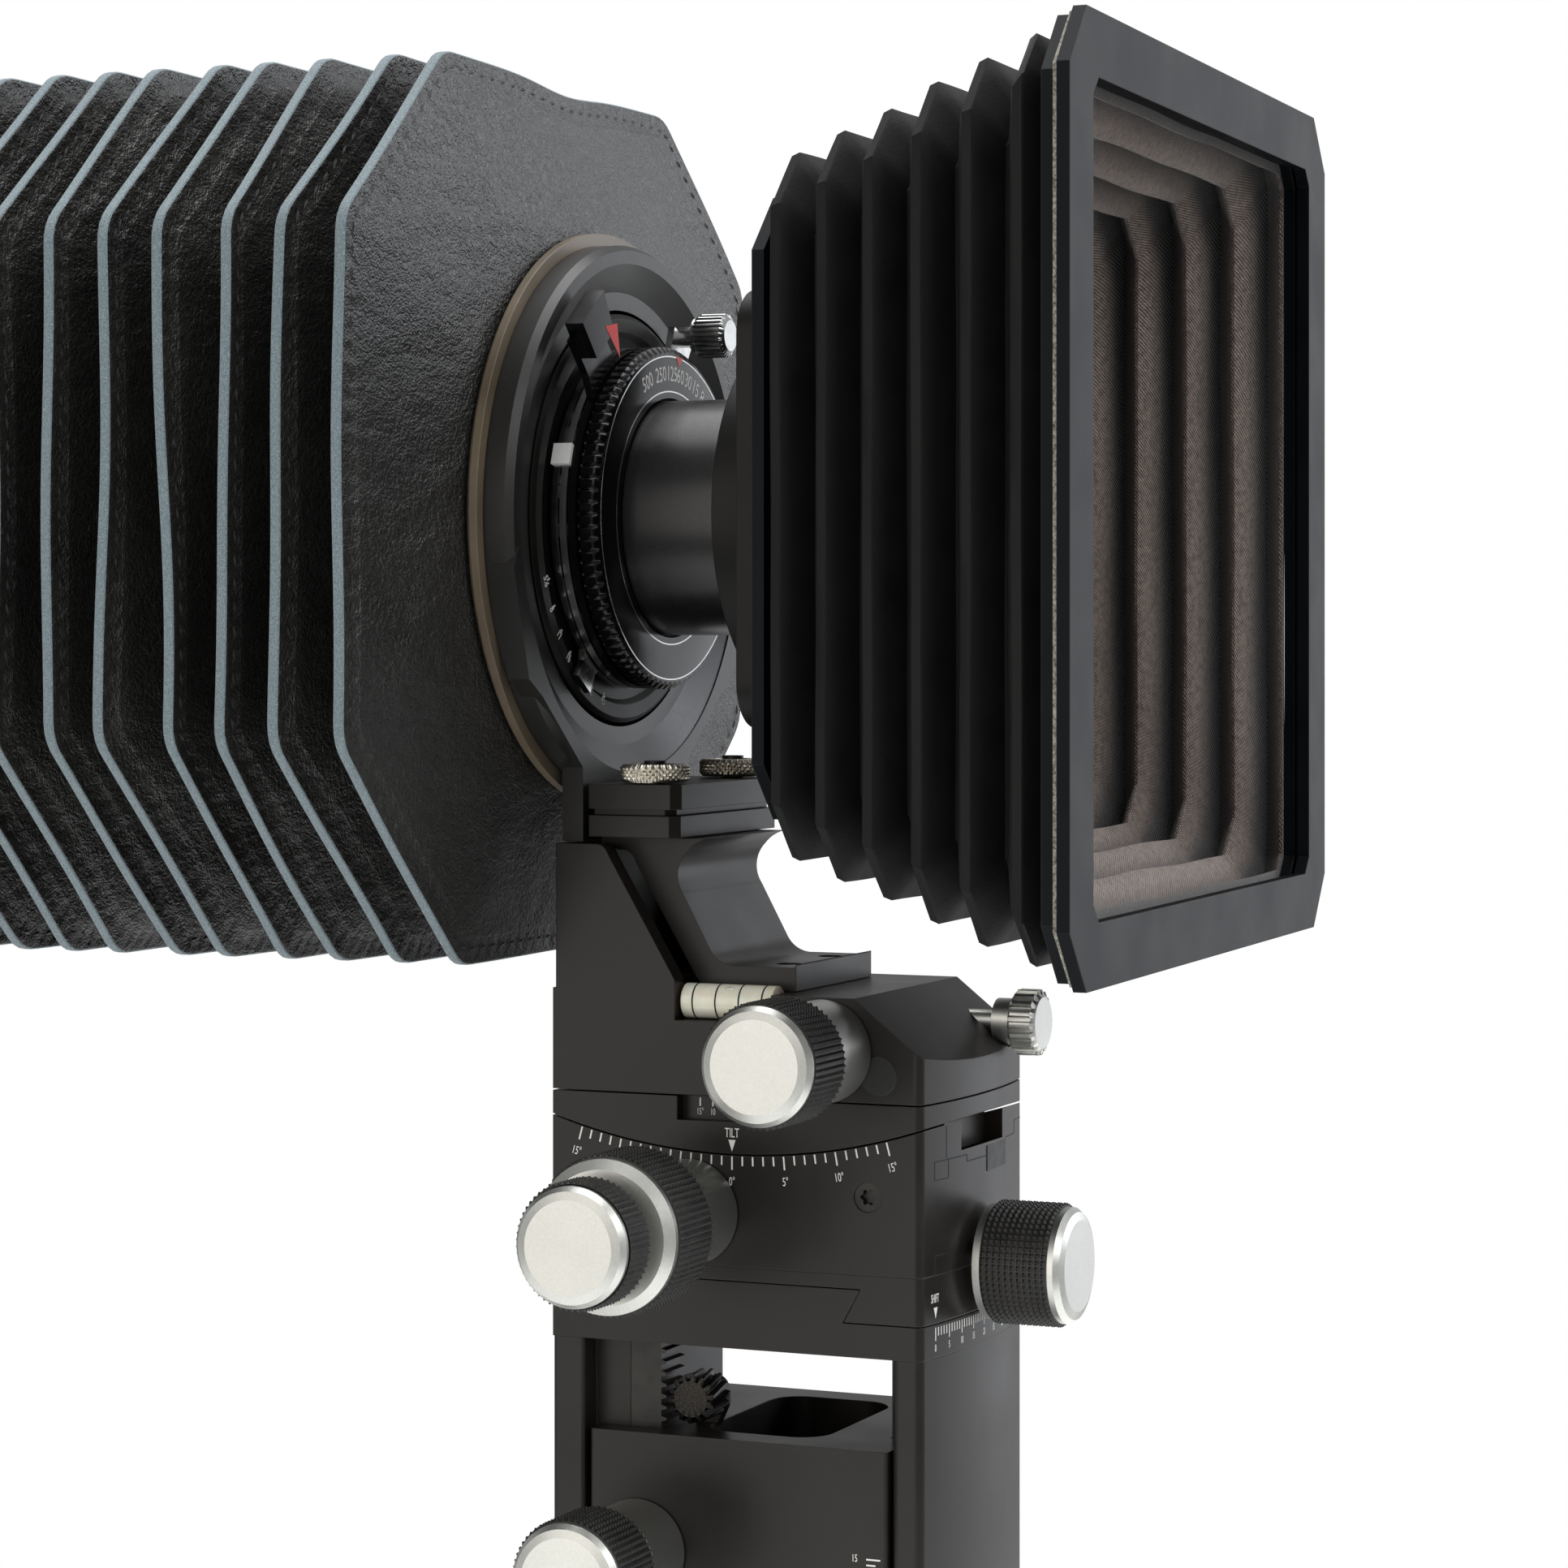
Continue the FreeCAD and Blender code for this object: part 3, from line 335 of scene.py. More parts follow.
def grid(p, wrap_rows=False, wrap_columns=False):
    """Quads that join neighbours in a grid of points p[i, j]. A wrapped direction closes on
    itself. Returns the points as rows, the quads, and each quad corner's own (i, j)."""
    rows, columns = p.shape[:2]
    i = np.arange(rows if wrap_rows else rows - 1)[:, None, None]
    j = np.arange(columns if wrap_columns else columns - 1)[None, :, None]
    i = i + np.array([0, 1, 1, 0])
    j = j + np.array([0, 0, 1, 1])
    i, j = np.broadcast_arrays(i, j)
    quads = (i % rows) * columns + j % columns
    return p.reshape(-1, 3), quads.reshape(-1, 4), np.stack([i, j], -1).reshape(-1, 4, 2)


def piece(name, points, faces, materials, which=None, uv=None, sharp=38.0):
    """Mesh object at the origin from points in metres. Doubles are merged and faces turned
    outward; edges steeper than `sharp` degrees stay crisp. uv holds a pair per face corner."""
    mesh = bpy.data.meshes.new(name)
    mesh.from_pydata(np.asarray(points).tolist(), [], [list(f) for f in faces])
    for finish in materials:
        mesh.materials.append(finish)
    if which is not None:
        mesh.polygons.foreach_set("material_index", np.asarray(which, np.int32))
    if uv is not None:
        mesh.uv_layers.new(name="UVMap").data.foreach_set(
            "uv", np.asarray(uv, np.float32).ravel())
    work = bmesh.new()
    work.from_mesh(mesh)
    bmesh.ops.remove_doubles(work, verts=work.verts, dist=2e-6)
    bmesh.ops.recalc_face_normals(work, faces=work.faces)
    work.to_mesh(mesh)
    work.free()
    mesh.polygons.foreach_set("use_smooth", np.ones(len(mesh.polygons), bool))
    mesh.set_sharp_from_angle(angle=np.radians(sharp))
    made = bpy.data.objects.new(name, mesh)
    bpy.context.scene.collection.objects.link(made)
    return made


def settle(made, body, slot=None, *replaced):
    """Puts a piece on its body and hides the CAD nodes that it stands for, if it has any.
    slot is not used."""
    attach(made, body)
    if replaced:
        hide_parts(*replaced)
    return made


def joined(parts):
    """Several (points, faces) as one: the faces are renumbered past the earlier points."""
    points, faces, count = [], [], 0
    for p, f in parts:
        points.append(np.asarray(p, float).reshape(-1, 3))
        faces += [[k + count for k in face] for face in f]
        count += len(points[-1])
    return np.concatenate(points), faces


def rectangle(right, up):
    """Corners of a rectangle from its two spans, anticlockwise."""
    return [(right[0], up[0]), (right[1], up[0]), (right[1], up[1]), (right[0], up[1])]


def lathe(profile, axis, at, turns=96, relief=None):
    """Points p[i, j] of a body turned about an axis through `at`. Profile rows are (radius,
    distance along the axis); turns is a count or the angles themselves; relief(turn, profile
    row) is added to the radius."""
    profile = np.asarray(profile, float)
    if np.isscalar(turns):
        turns = np.linspace(0, 2 * np.pi, turns, endpoint=False)
    angle = np.asarray(turns)[:, None]
    r = profile[None, :, 0] + (0.0 if relief is None else relief(angle, profile))
    along = np.broadcast_to(profile[None, :, 1], (len(turns), len(profile)))
    r = np.broadcast_to(r, along.shape)
    across, up = r * np.cos(angle), r * np.sin(angle)
    order = {"x": (along, across, up), "y": (across, along, up), "z": (across, up, along)}
    return np.stack(order[axis], -1) + np.asarray(at, float)


def turned_piece(name, profile, axis, at, finish, body, slot=None, replaced=(), turns=96,
                 relief=None, sharp=38.0):
    """Closed body of revolution as a piece of one finish."""
    points, quads, _ = grid(lathe(profile, axis, at, turns, relief), True, True)
    return settle(piece(name, place(points), quads, [finish], sharp=sharp), body, slot,
                  *replaced)


def at_joint(joint, axis):
    """Point of a joint's axis where the distance along it is counted from: zero on x, y or z."""
    point = axis_of(joint)
    point["xyz".index(axis)] = 0.0
    return point


# Where samples fall in one pitch of a moulded pyramid: groove, foot, crest, crest, foot
PYRAMID_STEPS = np.array([0.0, 0.1, 0.43, 0.57, 0.9])


def pyramid(x):
    """Height from 0 to 1 across a pitch of moulded pyramids: groove, flank, narrow crest."""
    return np.clip(1.2 - 3.0 * np.abs(np.mod(x, 1.0) - 0.5), 0, 1)


def pyramid_grip(name, joint, axis, r, ends, body, replaced=(), pitch=1.12):
    """Rubber sleeve with rows of square pyramids about `pitch` mm apart: the radius rises by the
    lower of two tents, one round the axis and one along it."""
    around = int(round(2 * np.pi * r / pitch))
    rows = max(3, int(round(abs(ends[1] - ends[0]) / pitch)))
    turns = ((np.arange(around)[:, None] + PYRAMID_STEPS).ravel() / around) * 2 * np.pi
    share = np.append((np.arange(rows)[:, None] + PYRAMID_STEPS).ravel() / rows, 1.0)
    outer = np.stack([np.full(len(share), r), ends[0] + (ends[1] - ends[0]) * share], -1)
    profile = np.vstack([[r - 1.3, ends[0]], outer, [r - 1.3, ends[1]]])
    lift = np.concatenate([[0.0], pyramid(share * rows), [0.0]])

    def relief(angle, _):
        return 0.5 * np.minimum(pyramid(angle / (2 * np.pi) * around), lift[None, :])
    return turned_piece(name, profile, axis, at_joint(joint, axis), rubber, body, "grip_rubber",
                        replaced, turns, relief, sharp=25.0)


# ---------------- leather bellows

LEAVES_PER_STEP = [3, 3, 1, 1, 3, 2]   # leaves between each two bodies of the chain
LEAF_FIRST, LEAF_PITCH, BELLOWS_END = 46.0, 11.4, 189.9
RIM_POINTS, FACE_ROWS, LINING_ROWS = 300, 17, 8   # samples round a leaf and along its faces
LEAF_EDGE = [(-47, 81), (-84, 49.5), (-84, -39.5), (-42, -79.5), (40, -79.5), (79.5, -39.5),
             (79.5, 47.5), (46, 79.5)]


def octagon(w, h, cut_x, cut_z):
    """Corners (X, Z) of a rectangle with cut corners, anticlockwise."""
    return [(cut_x - w, h), (-w, h - cut_z), (-w, cut_z - h), (cut_x - w, -h), (w - cut_x, -h),
            (w, cut_z - h), (w, h - cut_z), (w - cut_x, h)]


def evenly(p, count):
    """Closed outline resampled at even steps, and its length."""
    p = np.vstack([p, p[:1]])
    way = np.append(0, np.cumsum(np.hypot(*np.diff(p, axis=0).T)))
    t = np.linspace(0, way[-1], count, endpoint=False)
    return np.stack([np.interp(t, way, p[:, 0]), np.interp(t, way, p[:, 1])], -1), way[-1]


def rounded(corners, soft, count):
    """Closed outline through corners, each rounded by averaging the way over `soft` mm."""
    fine, length = evenly(np.asarray(corners, float), 2400)
    reach = int(soft / length * 1200)
    return evenly(np.mean([np.roll(fine, k, 0) for k in range(-reach, reach + 1)], 0), count)


def smooth(t):
    """Smooth step from 0 to 1: 3 t^2 - 2 t^3."""
    t = np.clip(t, 0, 1)
    return t * t * (3 - 2 * t)


VALLEY_LINE = rounded(octagon(62, 62, 26, 22), 8, 400)[0]


def leaf_reach(index):
    """Y where a leaf's front and back face have their roots."""
    middle = LEAF_FIRST + index * LEAF_PITCH
    return (38.5 if index == 0 else middle - LEAF_PITCH / 2,
            BELLOWS_END if index == sum(LEAVES_PER_STEP) - 1 else middle + LEAF_PITCH / 2)


def leaf_sides(index, seed):
    """One leaf of the bellows as functions of s, 0 at its root and 1 at its cut edge: the two
    outer faces as (radius, Y) grids over s and the way round, with the edge line and its length.
    Each face leaves its root steeply and lies flat towards the edge, Y = middle -+ (1 + gap (1 -
    s)^1.7); the edge waves by three sines of the angle, as stiff leather does."""
    middle = LEAF_FIRST + index * LEAF_PITCH
    rim, length = rounded(LEAF_EDGE, 7, RIM_POINTS)
    if index == 0:
        rim[:, 1] -= 1.6 * np.exp(-((rim[:, 0] - 3) / 16) ** 2) * (rim[:, 1] > 0)
    angle = np.arctan2(rim[:, 1], rim[:, 0])
    outer = np.hypot(rim[:, 0], rim[:, 1])
    valley = np.interp(angle, np.arctan2(VALLEY_LINE[:, 1], VALLEY_LINE[:, 0]),
                       np.hypot(*VALLEY_LINE.T), period=2 * np.pi)
    phase = np.random.default_rng(seed).uniform(0, 6.28, 4)
    wave = (0.9 * np.sin(2 * angle + phase[0]) + 0.7 * np.sin(3 * angle + phase[1])
            + 0.35 * np.sin(7 * angle + phase[2]))

    def front(s):
        if index == 0:
            r = 50.2 + (outer - 50.2) * s
            y = 38.7 + (middle - 39.7) * (1 - (1 - s) ** 1.4) + 0.8 * np.sin(3.14 * s) * np.sin(
                3 * angle + phase[3])
        else:
            r = valley + (outer - valley) * s
            y = middle - 1 - (LEAF_PITCH / 2 - 1) * (1 - s) ** 1.7
        return r, y + wave * s ** 2

    def back(s):
        gap = leaf_reach(index)[1] - middle - 1
        return valley + (outer - valley) * s, middle + 1 + gap * (1 - s) ** 1.7 + wave * s ** 2

    return front, back, rim, length, middle + wave, angle, outer, valley


def stitches(rim, length, face, outer, way):
    """Stitches along a sewn edge: slanted lozenges of six points that stand half out of the
    leather. Their Y is the face's own at the seam."""
    count = int(round(length / STITCH_PITCH))
    at = (np.arange(count) + 0.5) / count * len(rim)
    step = np.arange(len(rim))
    base, ahead = (np.stack([np.interp(t, step, rim[:, k], period=len(rim)) for k in (0, 1)], -1)
                   for t in (at, at + 1))
    run = (ahead - base) / np.linalg.norm(ahead - base, axis=1)[:, None]
    inward = np.stack([-run[:, 1], run[:, 0]], -1)
    seam = 1 - SEAM_INSET / (outer - 50)
    y = np.interp(at, step, face(seam)[1], period=len(rim))
    middle = base + inward * SEAM_INSET
    long = (run * 0.98 + inward * 0.2 * way) * 1.25
    wide = np.stack([-long[:, 1], long[:, 0]], -1) * 0.36
    corners = np.stack([middle + long, middle + wide, middle - long, middle - wide, middle,
                        middle], 1)
    depth = y[:, None] + np.array([0, 0, 0, 0, -0.3, 0.3])
    points = np.stack([corners[..., 0], depth, corners[..., 1]], -1).reshape(-1, 3)
    one = np.array([(0, 1, 4), (1, 2, 4), (2, 3, 4), (3, 0, 4), (1, 0, 5), (2, 1, 5), (3, 2, 5),
                    (0, 3, 5)])
    return points, (np.arange(count)[:, None, None] * 6 + one).reshape(-1, 3)


def leather_leaf(index):
    """Two skins of leather, valley to valley, sewn together 2.8 mm inside their cut edge, with the
    lining 1 mm inside them."""
    front, back, rim, length, middle, angle, outer, valley = leaf_sides(index, 40 + index)
    s = np.linspace(0, 1, FACE_ROWS)[:, None]
    deep = np.linspace(0, 1, LINING_ROWS)[:, None]
    rows = []
    for face, order in ((front, s), (back, s[::-1])):
        r, y = face(order)
        rows.append((r - 0.25 * (order == 1), y))
    rows.insert(1, (np.stack([outer, outer]), np.stack([middle - 0.8, middle + 0.8])))
    for face, way, order in ((back, -1, deep), (front, 1, deep[::-1])):
        root = face(0.0)[0]
        r = root - 1 + (outer - 4 - root + 1) * order
        y = face(np.clip((r - root) / (outer - root), 0, 1))[1]
        y = y + way * 0.95 * np.minimum(1, 4 * order)
        rows.append((r, np.maximum(y, middle + 0.05) if way < 0 else
                     np.minimum(y, middle - 0.05)))
    r = np.vstack([row[0] for row in rows])
    y = np.vstack([row[1] for row in rows])
    p = np.stack([r * np.cos(angle), y, r * np.sin(angle)], -1)
    points, quads, corner = grid(p, True, True)
    inset = np.maximum(outer - r, 0)
    inset[2 * len(s) + 2:] = 50          # the lining has no seam near it
    uv = np.stack([corner[..., 1] * length / RIM_POINTS,
                   inset[corner[..., 0] % len(r), corner[..., 1] % RIM_POINTS]], -1) * MM
    row = corner[:, 0, 0]
    which = np.where((row >= len(s) - 1) & (row <= len(s) + 1), 1, 0)
    sewn = [stitches(rim, length, face, outer, way) for face, way in ((front, 1), (back, -1))]
    points, faces = joined([(points, quads.tolist())] + [(a, b.tolist()) for a, b in sewn])
    count = sum(len(b) for _, b in sewn)
    which = np.append(which, np.full(count, 2))
    uv = np.append(uv.reshape(-1, 2), np.zeros((count * 3, 2)), 0)
    return piece("leather_leaf_%02d" % (index + 1), place(points), faces,
                 [hide, cut_edge, thread], which, uv, 50.0)


def blend_evenly(made, y, weights):
    """Works out the stretch where the blend's smooth step would take a leaf's share of the movement
    from weights[0] to weights[1], then bakes the leaf's transform into its mesh; the stretch is
    not used and the leaf is not bent."""
    t = [0.5 - np.sin(np.arcsin(1 - 2 * w) / 3) for w in weights]
    length = (y[1] - y[0]) / (t[1] - t[0])
    start = y[0] - t[0] * length
    tuple(place((0, start, 0)))
    tuple(place((0, start + length, 0)))
    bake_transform(made)


leaf = 0
for link, leaves in enumerate(LEAVES_PER_STEP):
    for share in range(leaves):
        made = leather_leaf(leaf)
        blend_evenly(made, leaf_reach(leaf),
                     (share / leaves, (share + 1) / leaves))
        if leaf == 0:
            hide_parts("leather_bellows")
        leaf += 1


# ---------------- hood

HOOD_Y = (-19.8, -74.4)
HOOD_FOLDS = 6
HOOD_SKEW = np.radians(2.9)
FLARE_W, FLARE_H = 22, 18            # growth of the half width and height from back to front
COLUMNS = ((4, 20, 4, 24) * 2)       # steps along each edge of the hood's section


def hood_ring(w, h, cut, y, k):
    """Sections of the hood as points p[row, column]: cut-cornered rectangles w by h, turned
    about Z in proportion to k."""
    w, h, cut = (np.broadcast_to(v, y.shape) for v in (w, h, cut))
    corners = np.stack([np.stack(pair, -1) for pair in octagon(w, h, cut, cut)], 1)
    edge = np.repeat(np.arange(8), COLUMNS)
    f = np.concatenate([np.arange(n) / n for n in COLUMNS])[None, :, None]
    p = corners[:, edge] * (1 - f) + corners[:, (edge + 1) % 8] * f
    turn = HOOD_SKEW * k[:, None]
    return np.stack([p[..., 0] * np.cos(turn), y[:, None] + p[..., 0] * np.sin(turn), p[..., 1]],
                    -1)


def hood_cloth():
    """Pleated cloth tube. Outside, each fold has a flat ridge between sharp valleys; inside, the
    cloth rounds over each valley and falls away to a deep gap behind each ridge: half width =
    valley - 1.8 + 7 (hypot(t, 0.2) - 0.2) / 0.82, with t from 0 at the valley to 1 at the ridge."""
    pitch = (HOOD_Y[1] - HOOD_Y[0]) / HOOD_FOLDS
    part = np.array([0.0, 0.03, 0.374, 0.412, 0.588, 0.626, 0.97])
    crest = np.array([0.0, 0.0, 0.95, 1.0, 1.0, 0.95, 0.0])
    fold = np.append((np.arange(HOOD_FOLDS)[:, None] + part).ravel(), HOOD_FOLDS)
    height = np.append(np.tile(crest, HOOD_FOLDS), 0.0)
    k = fold / HOOD_FOLDS
    outer = hood_ring(53 + FLARE_W * k + 8 * height, 49.6 + FLARE_H * k + 7.4 * height,
                      (8 + height) * (1 - 0.6 * smooth(k * 10 - 9)), HOOD_Y[0] + pitch * fold, k)
    fold_in = np.linspace(HOOD_FOLDS, 0, HOOD_FOLDS * 14 + 1)
    bulge = (np.hypot(2 * (fold_in - np.round(fold_in)), 0.2) - 0.2) / 0.82
    k_in = fold_in / HOOD_FOLDS
    inner = hood_ring(51.2 + FLARE_W * k_in + 7 * bulge, 47.8 + FLARE_H * k_in + 6.6 * bulge,
                      7 * (1 - 0.6 * smooth(k_in * 10 - 9)), HOOD_Y[0] + pitch * fold_in, k_in)
    p = np.vstack([outer, inner])
    column = np.arange(p.shape[1]) * 6.283 / p.shape[1]
    row = np.append(fold, fold_in)[:, None]
    uneven = 0.22 * np.sin(3 * column + 2.1 * row) + 0.16 * np.sin(11 * column + 4.3 * row)
    side = p * (1, 0, 1)
    p = p + side / np.linalg.norm(side, axis=-1, keepdims=True) * uneven[..., None]
    points, quads, corner = grid(p, True, True)
    along, across = (np.append(0, np.cumsum(np.linalg.norm(np.roll(line, -1, 0) - line, axis=1)))
                     for line in (p[:, 20], p[20]))
    uv = np.stack([across[corner[..., 1]], along[corner[..., 0]]], -1) * MM
    which = np.where(corner[:, 0, 0] >= len(outer) - 1, 1, 0)
    return piece("hood_cloth", place(points), quads, [hood_outside, hood_inside], which, uv, 32.0)


cloth = hood_cloth()
tuple(place((0, HOOD_Y[0], 0)))
tuple(place((0, HOOD_Y[1], 0)))
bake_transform(cloth)
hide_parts("hood_bellows")


def hood_felt_strip():
    """Felt between the flange and the mask frame: a thin ring between two cut-cornered outlines,
    as askew as the front of the hood."""
    ends = [hood_ring(w, h, 9.2, np.array([y]), np.ones(1))[0] for w, h, y in (
        (85.3, 76.3, -77.42), (85.3, 76.3, -76.7), (84.0, 75.0, -76.7), (84.0, 75.0, -77.42))]
    points, quads, _ = grid(np.stack(ends), True, True)
    return piece("hood_felt_strip", place(points), quads, [felt])


settle(hood_felt_strip(), "hood_front")


# ---------------- knobs

# Natural anodised aluminium, turned and lightly blasted: pale silver with a soft sheen. Each knob
# has its own rings: axis, joint and CAD nodes
KNOBS = {
    "rise": ("X", "front_rise_turn", ["front_rise_knob"]),
    "swing": ("X", "front_swing_turn", ["front_swing_knob"]),
    "tilt": ("X", "front_tilt_turn", ["front_tilt_knob", "front_tilt_lock"]),
    "shift": ("Y", "front_shift_turn", ["front_shift_knob"]),
    "front_focus": ("X", "front_focus_turn", ["front_focus_knob"]),
    "rear_focus": ("X", "rear_focus_turn", ["rear_focus_knob"]),
    "focus_brake": ("X", "front_focus_lock_turn", ["front_focus_lock"]),
    "swing_brake": ("Y", "front_swing_lock_turn", []),
    "tripod": ("X", "tripod_clamp_turn", ["tripod_clamp_knob"])}
silver = {}
finishes = {}
for key, (axis, joint, nodes) in KNOBS.items():
    silver[key] = turned("aluminium_satin_" + key, "#c6c7c2", "#d3d4cf", (0.36, 0.42), axis,
                         axis_of(joint))
    for node in nodes:
        finishes[node] = silver[key]

for name, drive, axis, r, ends, replaced in (
        ("rise_grip_sleeve", "front_rise", "x", 10.4, (-53.3, -41.0), ["front_rise_grip"]),
        ("swing_grip_sleeve", "front_swing", "x", 10.4, (-53.0, -40.7), ["front_swing_grip"]),
        ("tilt_grip_sleeve", "front_tilt", "x", 13.5, (-58.2, -45.6), ["front_tilt_grip"]),
        ("shift_grip_sleeve", "front_shift", "y", 10.4, (-53.0, -40.6), ["front_shift_grip"]),
        ("front_focus_drive_sleeve", "front_focus", "x", 10.5, (-53.3, -41.0), []),
        ("rear_focus_drive_sleeve", "rear_focus", "x", 10.5, (-53.3, -41.0), [])):
    pyramid_grip(name, drive + "_turn", axis, r, ends, drive + "_drive", replaced)
pyramid_grip("tilt_lock_sleeve", "front_tilt_turn", "x", 10.5, (-71.2, -64.2), "front_tilt_brake")


def lobes(count, depth):
    """Relief of rounded teeth round a rim, on the profile rows that stand outermost."""
    def relief(angle, profile):
        rim = profile[None, :, 0] > profile[:, 0].max() - 0.2
        return -depth * rim * np.clip(0.5 - 1.4 * np.cos(angle * count), 0, 1)
    return relief


def knurl(angle, profile):
    """Relief of a nut's diamond knurl on its outermost rows: the lower of two opposite helical
    tents, 34 of each round the nut and 1.1 mm apart along it."""
    tents = [np.abs(np.mod(angle * 34 / (2 * np.pi) + way * profile[None, :, 1] / 1.1, 1) - 0.5) * 2
             for way in (1, -1)]
    return np.where(profile[None, :, 0] > 6, 0.42 * (np.minimum(*tents) - 0.5), 0)


NUT = ([(2.05, -47.6), (5.6, -47.6)] + [(6.1, z) for z in np.linspace(-47.1, -44.9, 12)]
       + [(5.6, -44.4), (3.4, -44.4), (3.2, -44.7), (2.05, -44.7)])
for key in ("nut_near", "nut_far"):
    turned_piece(key + "_knurled", NUT, "z", at_joint("clamp_%s_turn" % key, "z"), nickel, key,
                 "nickel", ["clamp_" + key], 272, knurl, 25.0)

turned_piece("swing_lock_screw", [(0, -43.4), (4.6, -43.4), (5.0, -43.1), (6.0, -42.7),
                                  (6.0, -38.9), (5.2, -38.3), (4.2, -38.0), (4.2, -34.8),
                                  (2.0, -34.8), (2.0, -25.0), (0, -25.0)],
             "y", at_joint("front_swing_lock_turn", "y"), silver["swing_brake"],
             "front_swing_brake", "satin_silver", ["front_swing_lock"], 180, lobes(18, 0.7), 30.0)


def helix(angle, profile):
    """Relief of slanted gear teeth on the outermost rows."""
    tooth = np.abs(np.mod(angle * 14 / (2 * np.pi) + profile[None, :, 1] / 9, 1) - 0.5) * 2
    return np.where(profile[None, :, 0] > 4.3, -0.9 * np.clip(2.2 * tooth - 0.7, 0, 1), 0)


turned_piece("rise_pinion_helical",
             [(0, -20.0), (3.2, -20.0)] + [(4.4, x) for x in np.linspace(-19.6, -12.4, 10)]
             + [(3.2, -12.0), (1.5, -12.0), (1.5, -8.8), (0, -8.8)],
             "x", at_joint("front_rise_gear_turn", "x"),
             turned("steel_blackened_cut_gear", "#1c1b1a", "#3a3835", (0.28, 0.4), "X",
                    axis_of("front_rise_gear_turn"), 0.3),
             "front_rise_gear", "black_steel", ["front_rise_pinion"], 168, helix, 30.0)


# ---------------- rack, level, plug

RACK_PITCH = 1.57                     # half-module teeth


def rack_teeth():
    """Focusing rack: a bar whose top runs through a trapezoid tooth at each pitch."""
    low, high = span("rail_rack")
    count, root = int((high[1] - low[1]) / RACK_PITCH), high[2] - 1.1
    tooth = np.arange(count)[:, None] + (0.0, 0.25, 0.45, 0.75)
    y = np.append((low[1] + tooth * RACK_PITCH).ravel(), high[1])
    top = np.append(np.tile((root, high[2], high[2], root), count), root)
    edge = [np.stack([np.full(len(y), x), y, top if up else np.full(len(y), low[2])], -1)
            for x, up in ((low[0], 0), (low[0], 1), (high[0], 1), (high[0], 0))]
    p = np.stack(edge, 1)
    points, quads, _ = grid(p, False, True)
    last = len(points) - 4
    faces = quads.tolist() + [[3, 2, 1, 0], [last, last + 1, last + 2, last + 3]]
    return piece("focus_rack_teeth", place(points), faces, [rack_steel], sharp=20.0)


rack_steel = grained("steel_blackened_cut_rack", "#232220", "#3b3936", (0.3, 0.42), 5.0, 0.01, 0.2,
                     Metallic=0.6)
settle(rack_teeth(), "rail", "black_steel", "rail_rack")

LEVEL = (-20.6, 0.0, -86.0)
turned_piece("spirit_level_tube", [(0, -7.2), (2.7, -7.2), (3.1, -6.9), (3.1, 10.5), (2.7, 10.8),
                                   (0, 10.8)], "y", LEVEL, acrylic, "lens_head", "acrylic",
             ["spirit_level"], 64)
for number, y in enumerate((-0.6, 3.9, 8.3, -5.0), 1):
    turned_piece("level_ring_%d" % number, rectangle((2.9, 3.14), (y - 0.14, y + 0.14)), "y",
                 LEVEL, shadow, "lens_head", turns=64)
bubble_glass = grained("spirit_level_bubble", "#8f8d78", "#f4f3e6", (0.08, 0.14), 1.0, 0.01, 0.4,
                       **{"Coat Weight": 1.0})
t = np.linspace(0, np.pi, 9)
turned_piece("level_bubble", np.stack([1.05 * np.sin(t), 1.7 - 1.75 * np.cos(t)], -1), "y",
             (LEVEL[0] - 1.3, 0, LEVEL[2] + 1.75), bubble_glass, "lens_head", turns=32)
turned_piece("swing_shaft_plug", [(0, -25.12), (3.35, -25.12), (3.6, -24.9), (3.6, -24.4),
                                  (0, -24.4)], "x", (0, -27.6, -97.4), nylon, "lens_head",
             "cap_plastic", turns=48)


# ---------------- engraving and small marks

def word(text, height, squeeze=0.68, turn=0.0, at=(0, 0)):
    """Letters as a slab `height` mm tall, centred on `at` in a plane's (right, up) and turned
    anticlockwise by an angle. Points are (right, up, out)."""
    curve = bpy.data.curves.new("letters", "FONT")
    curve.body, curve.size, curve.extrude = text, height / 0.7, PAINT / 2
    curve.align_x, curve.align_y, curve.resolution_u = "CENTER", "CENTER", 3
    holder = bpy.data.objects.new("letters", curve)
    mesh = bpy.data.meshes.new_from_object(holder)
    p = np.zeros(len(mesh.vertices) * 3)
    mesh.vertices.foreach_get("co", p)
    faces = [list(face.vertices) for face in mesh.polygons]
    bpy.data.objects.remove(holder)
    bpy.data.curves.remove(curve)
    bpy.data.meshes.remove(mesh)
    return turned_flat(p.reshape(-1, 3) * (squeeze, 1, 1), turn, at), faces


def on_circle(r, degrees):
    """Point (right, up) on a circle, anticlockwise from the right."""
    return r * np.cos(np.radians(degrees)), r * np.sin(np.radians(degrees))


def turned_flat(p, turn, at):
    """Turns points anticlockwise in their plane, then moves them to `at`."""
    c, s = np.cos(turn), np.sin(turn)
    return np.stack([p[:, 0] * c - p[:, 1] * s + at[0], p[:, 0] * s + p[:, 1] * c + at[1],
                     p[:, 2]], -1)


def flat(outline, turn=0.0, at=(0, 0), thick=PAINT):
    """Flat mark: an outline in (right, up) as a slab, turned and moved in its plane."""
    n = len(outline)
    p = np.column_stack([np.tile(outline, (2, 1)), np.repeat((-thick / 2, thick / 2), n)])
    faces = [list(range(n))[::-1], list(range(n, 2 * n))]
    faces += [[k, (k + 1) % n, n + (k + 1) % n, n + k] for k in range(n)]
    return turned_flat(p, turn, at), faces


def bar(width, length, turn=0.0, at=(0, 0)):
    """Tick that hangs down from `at`."""
    return flat(rectangle((-width / 2, width / 2), (-length, 0)), turn, at)


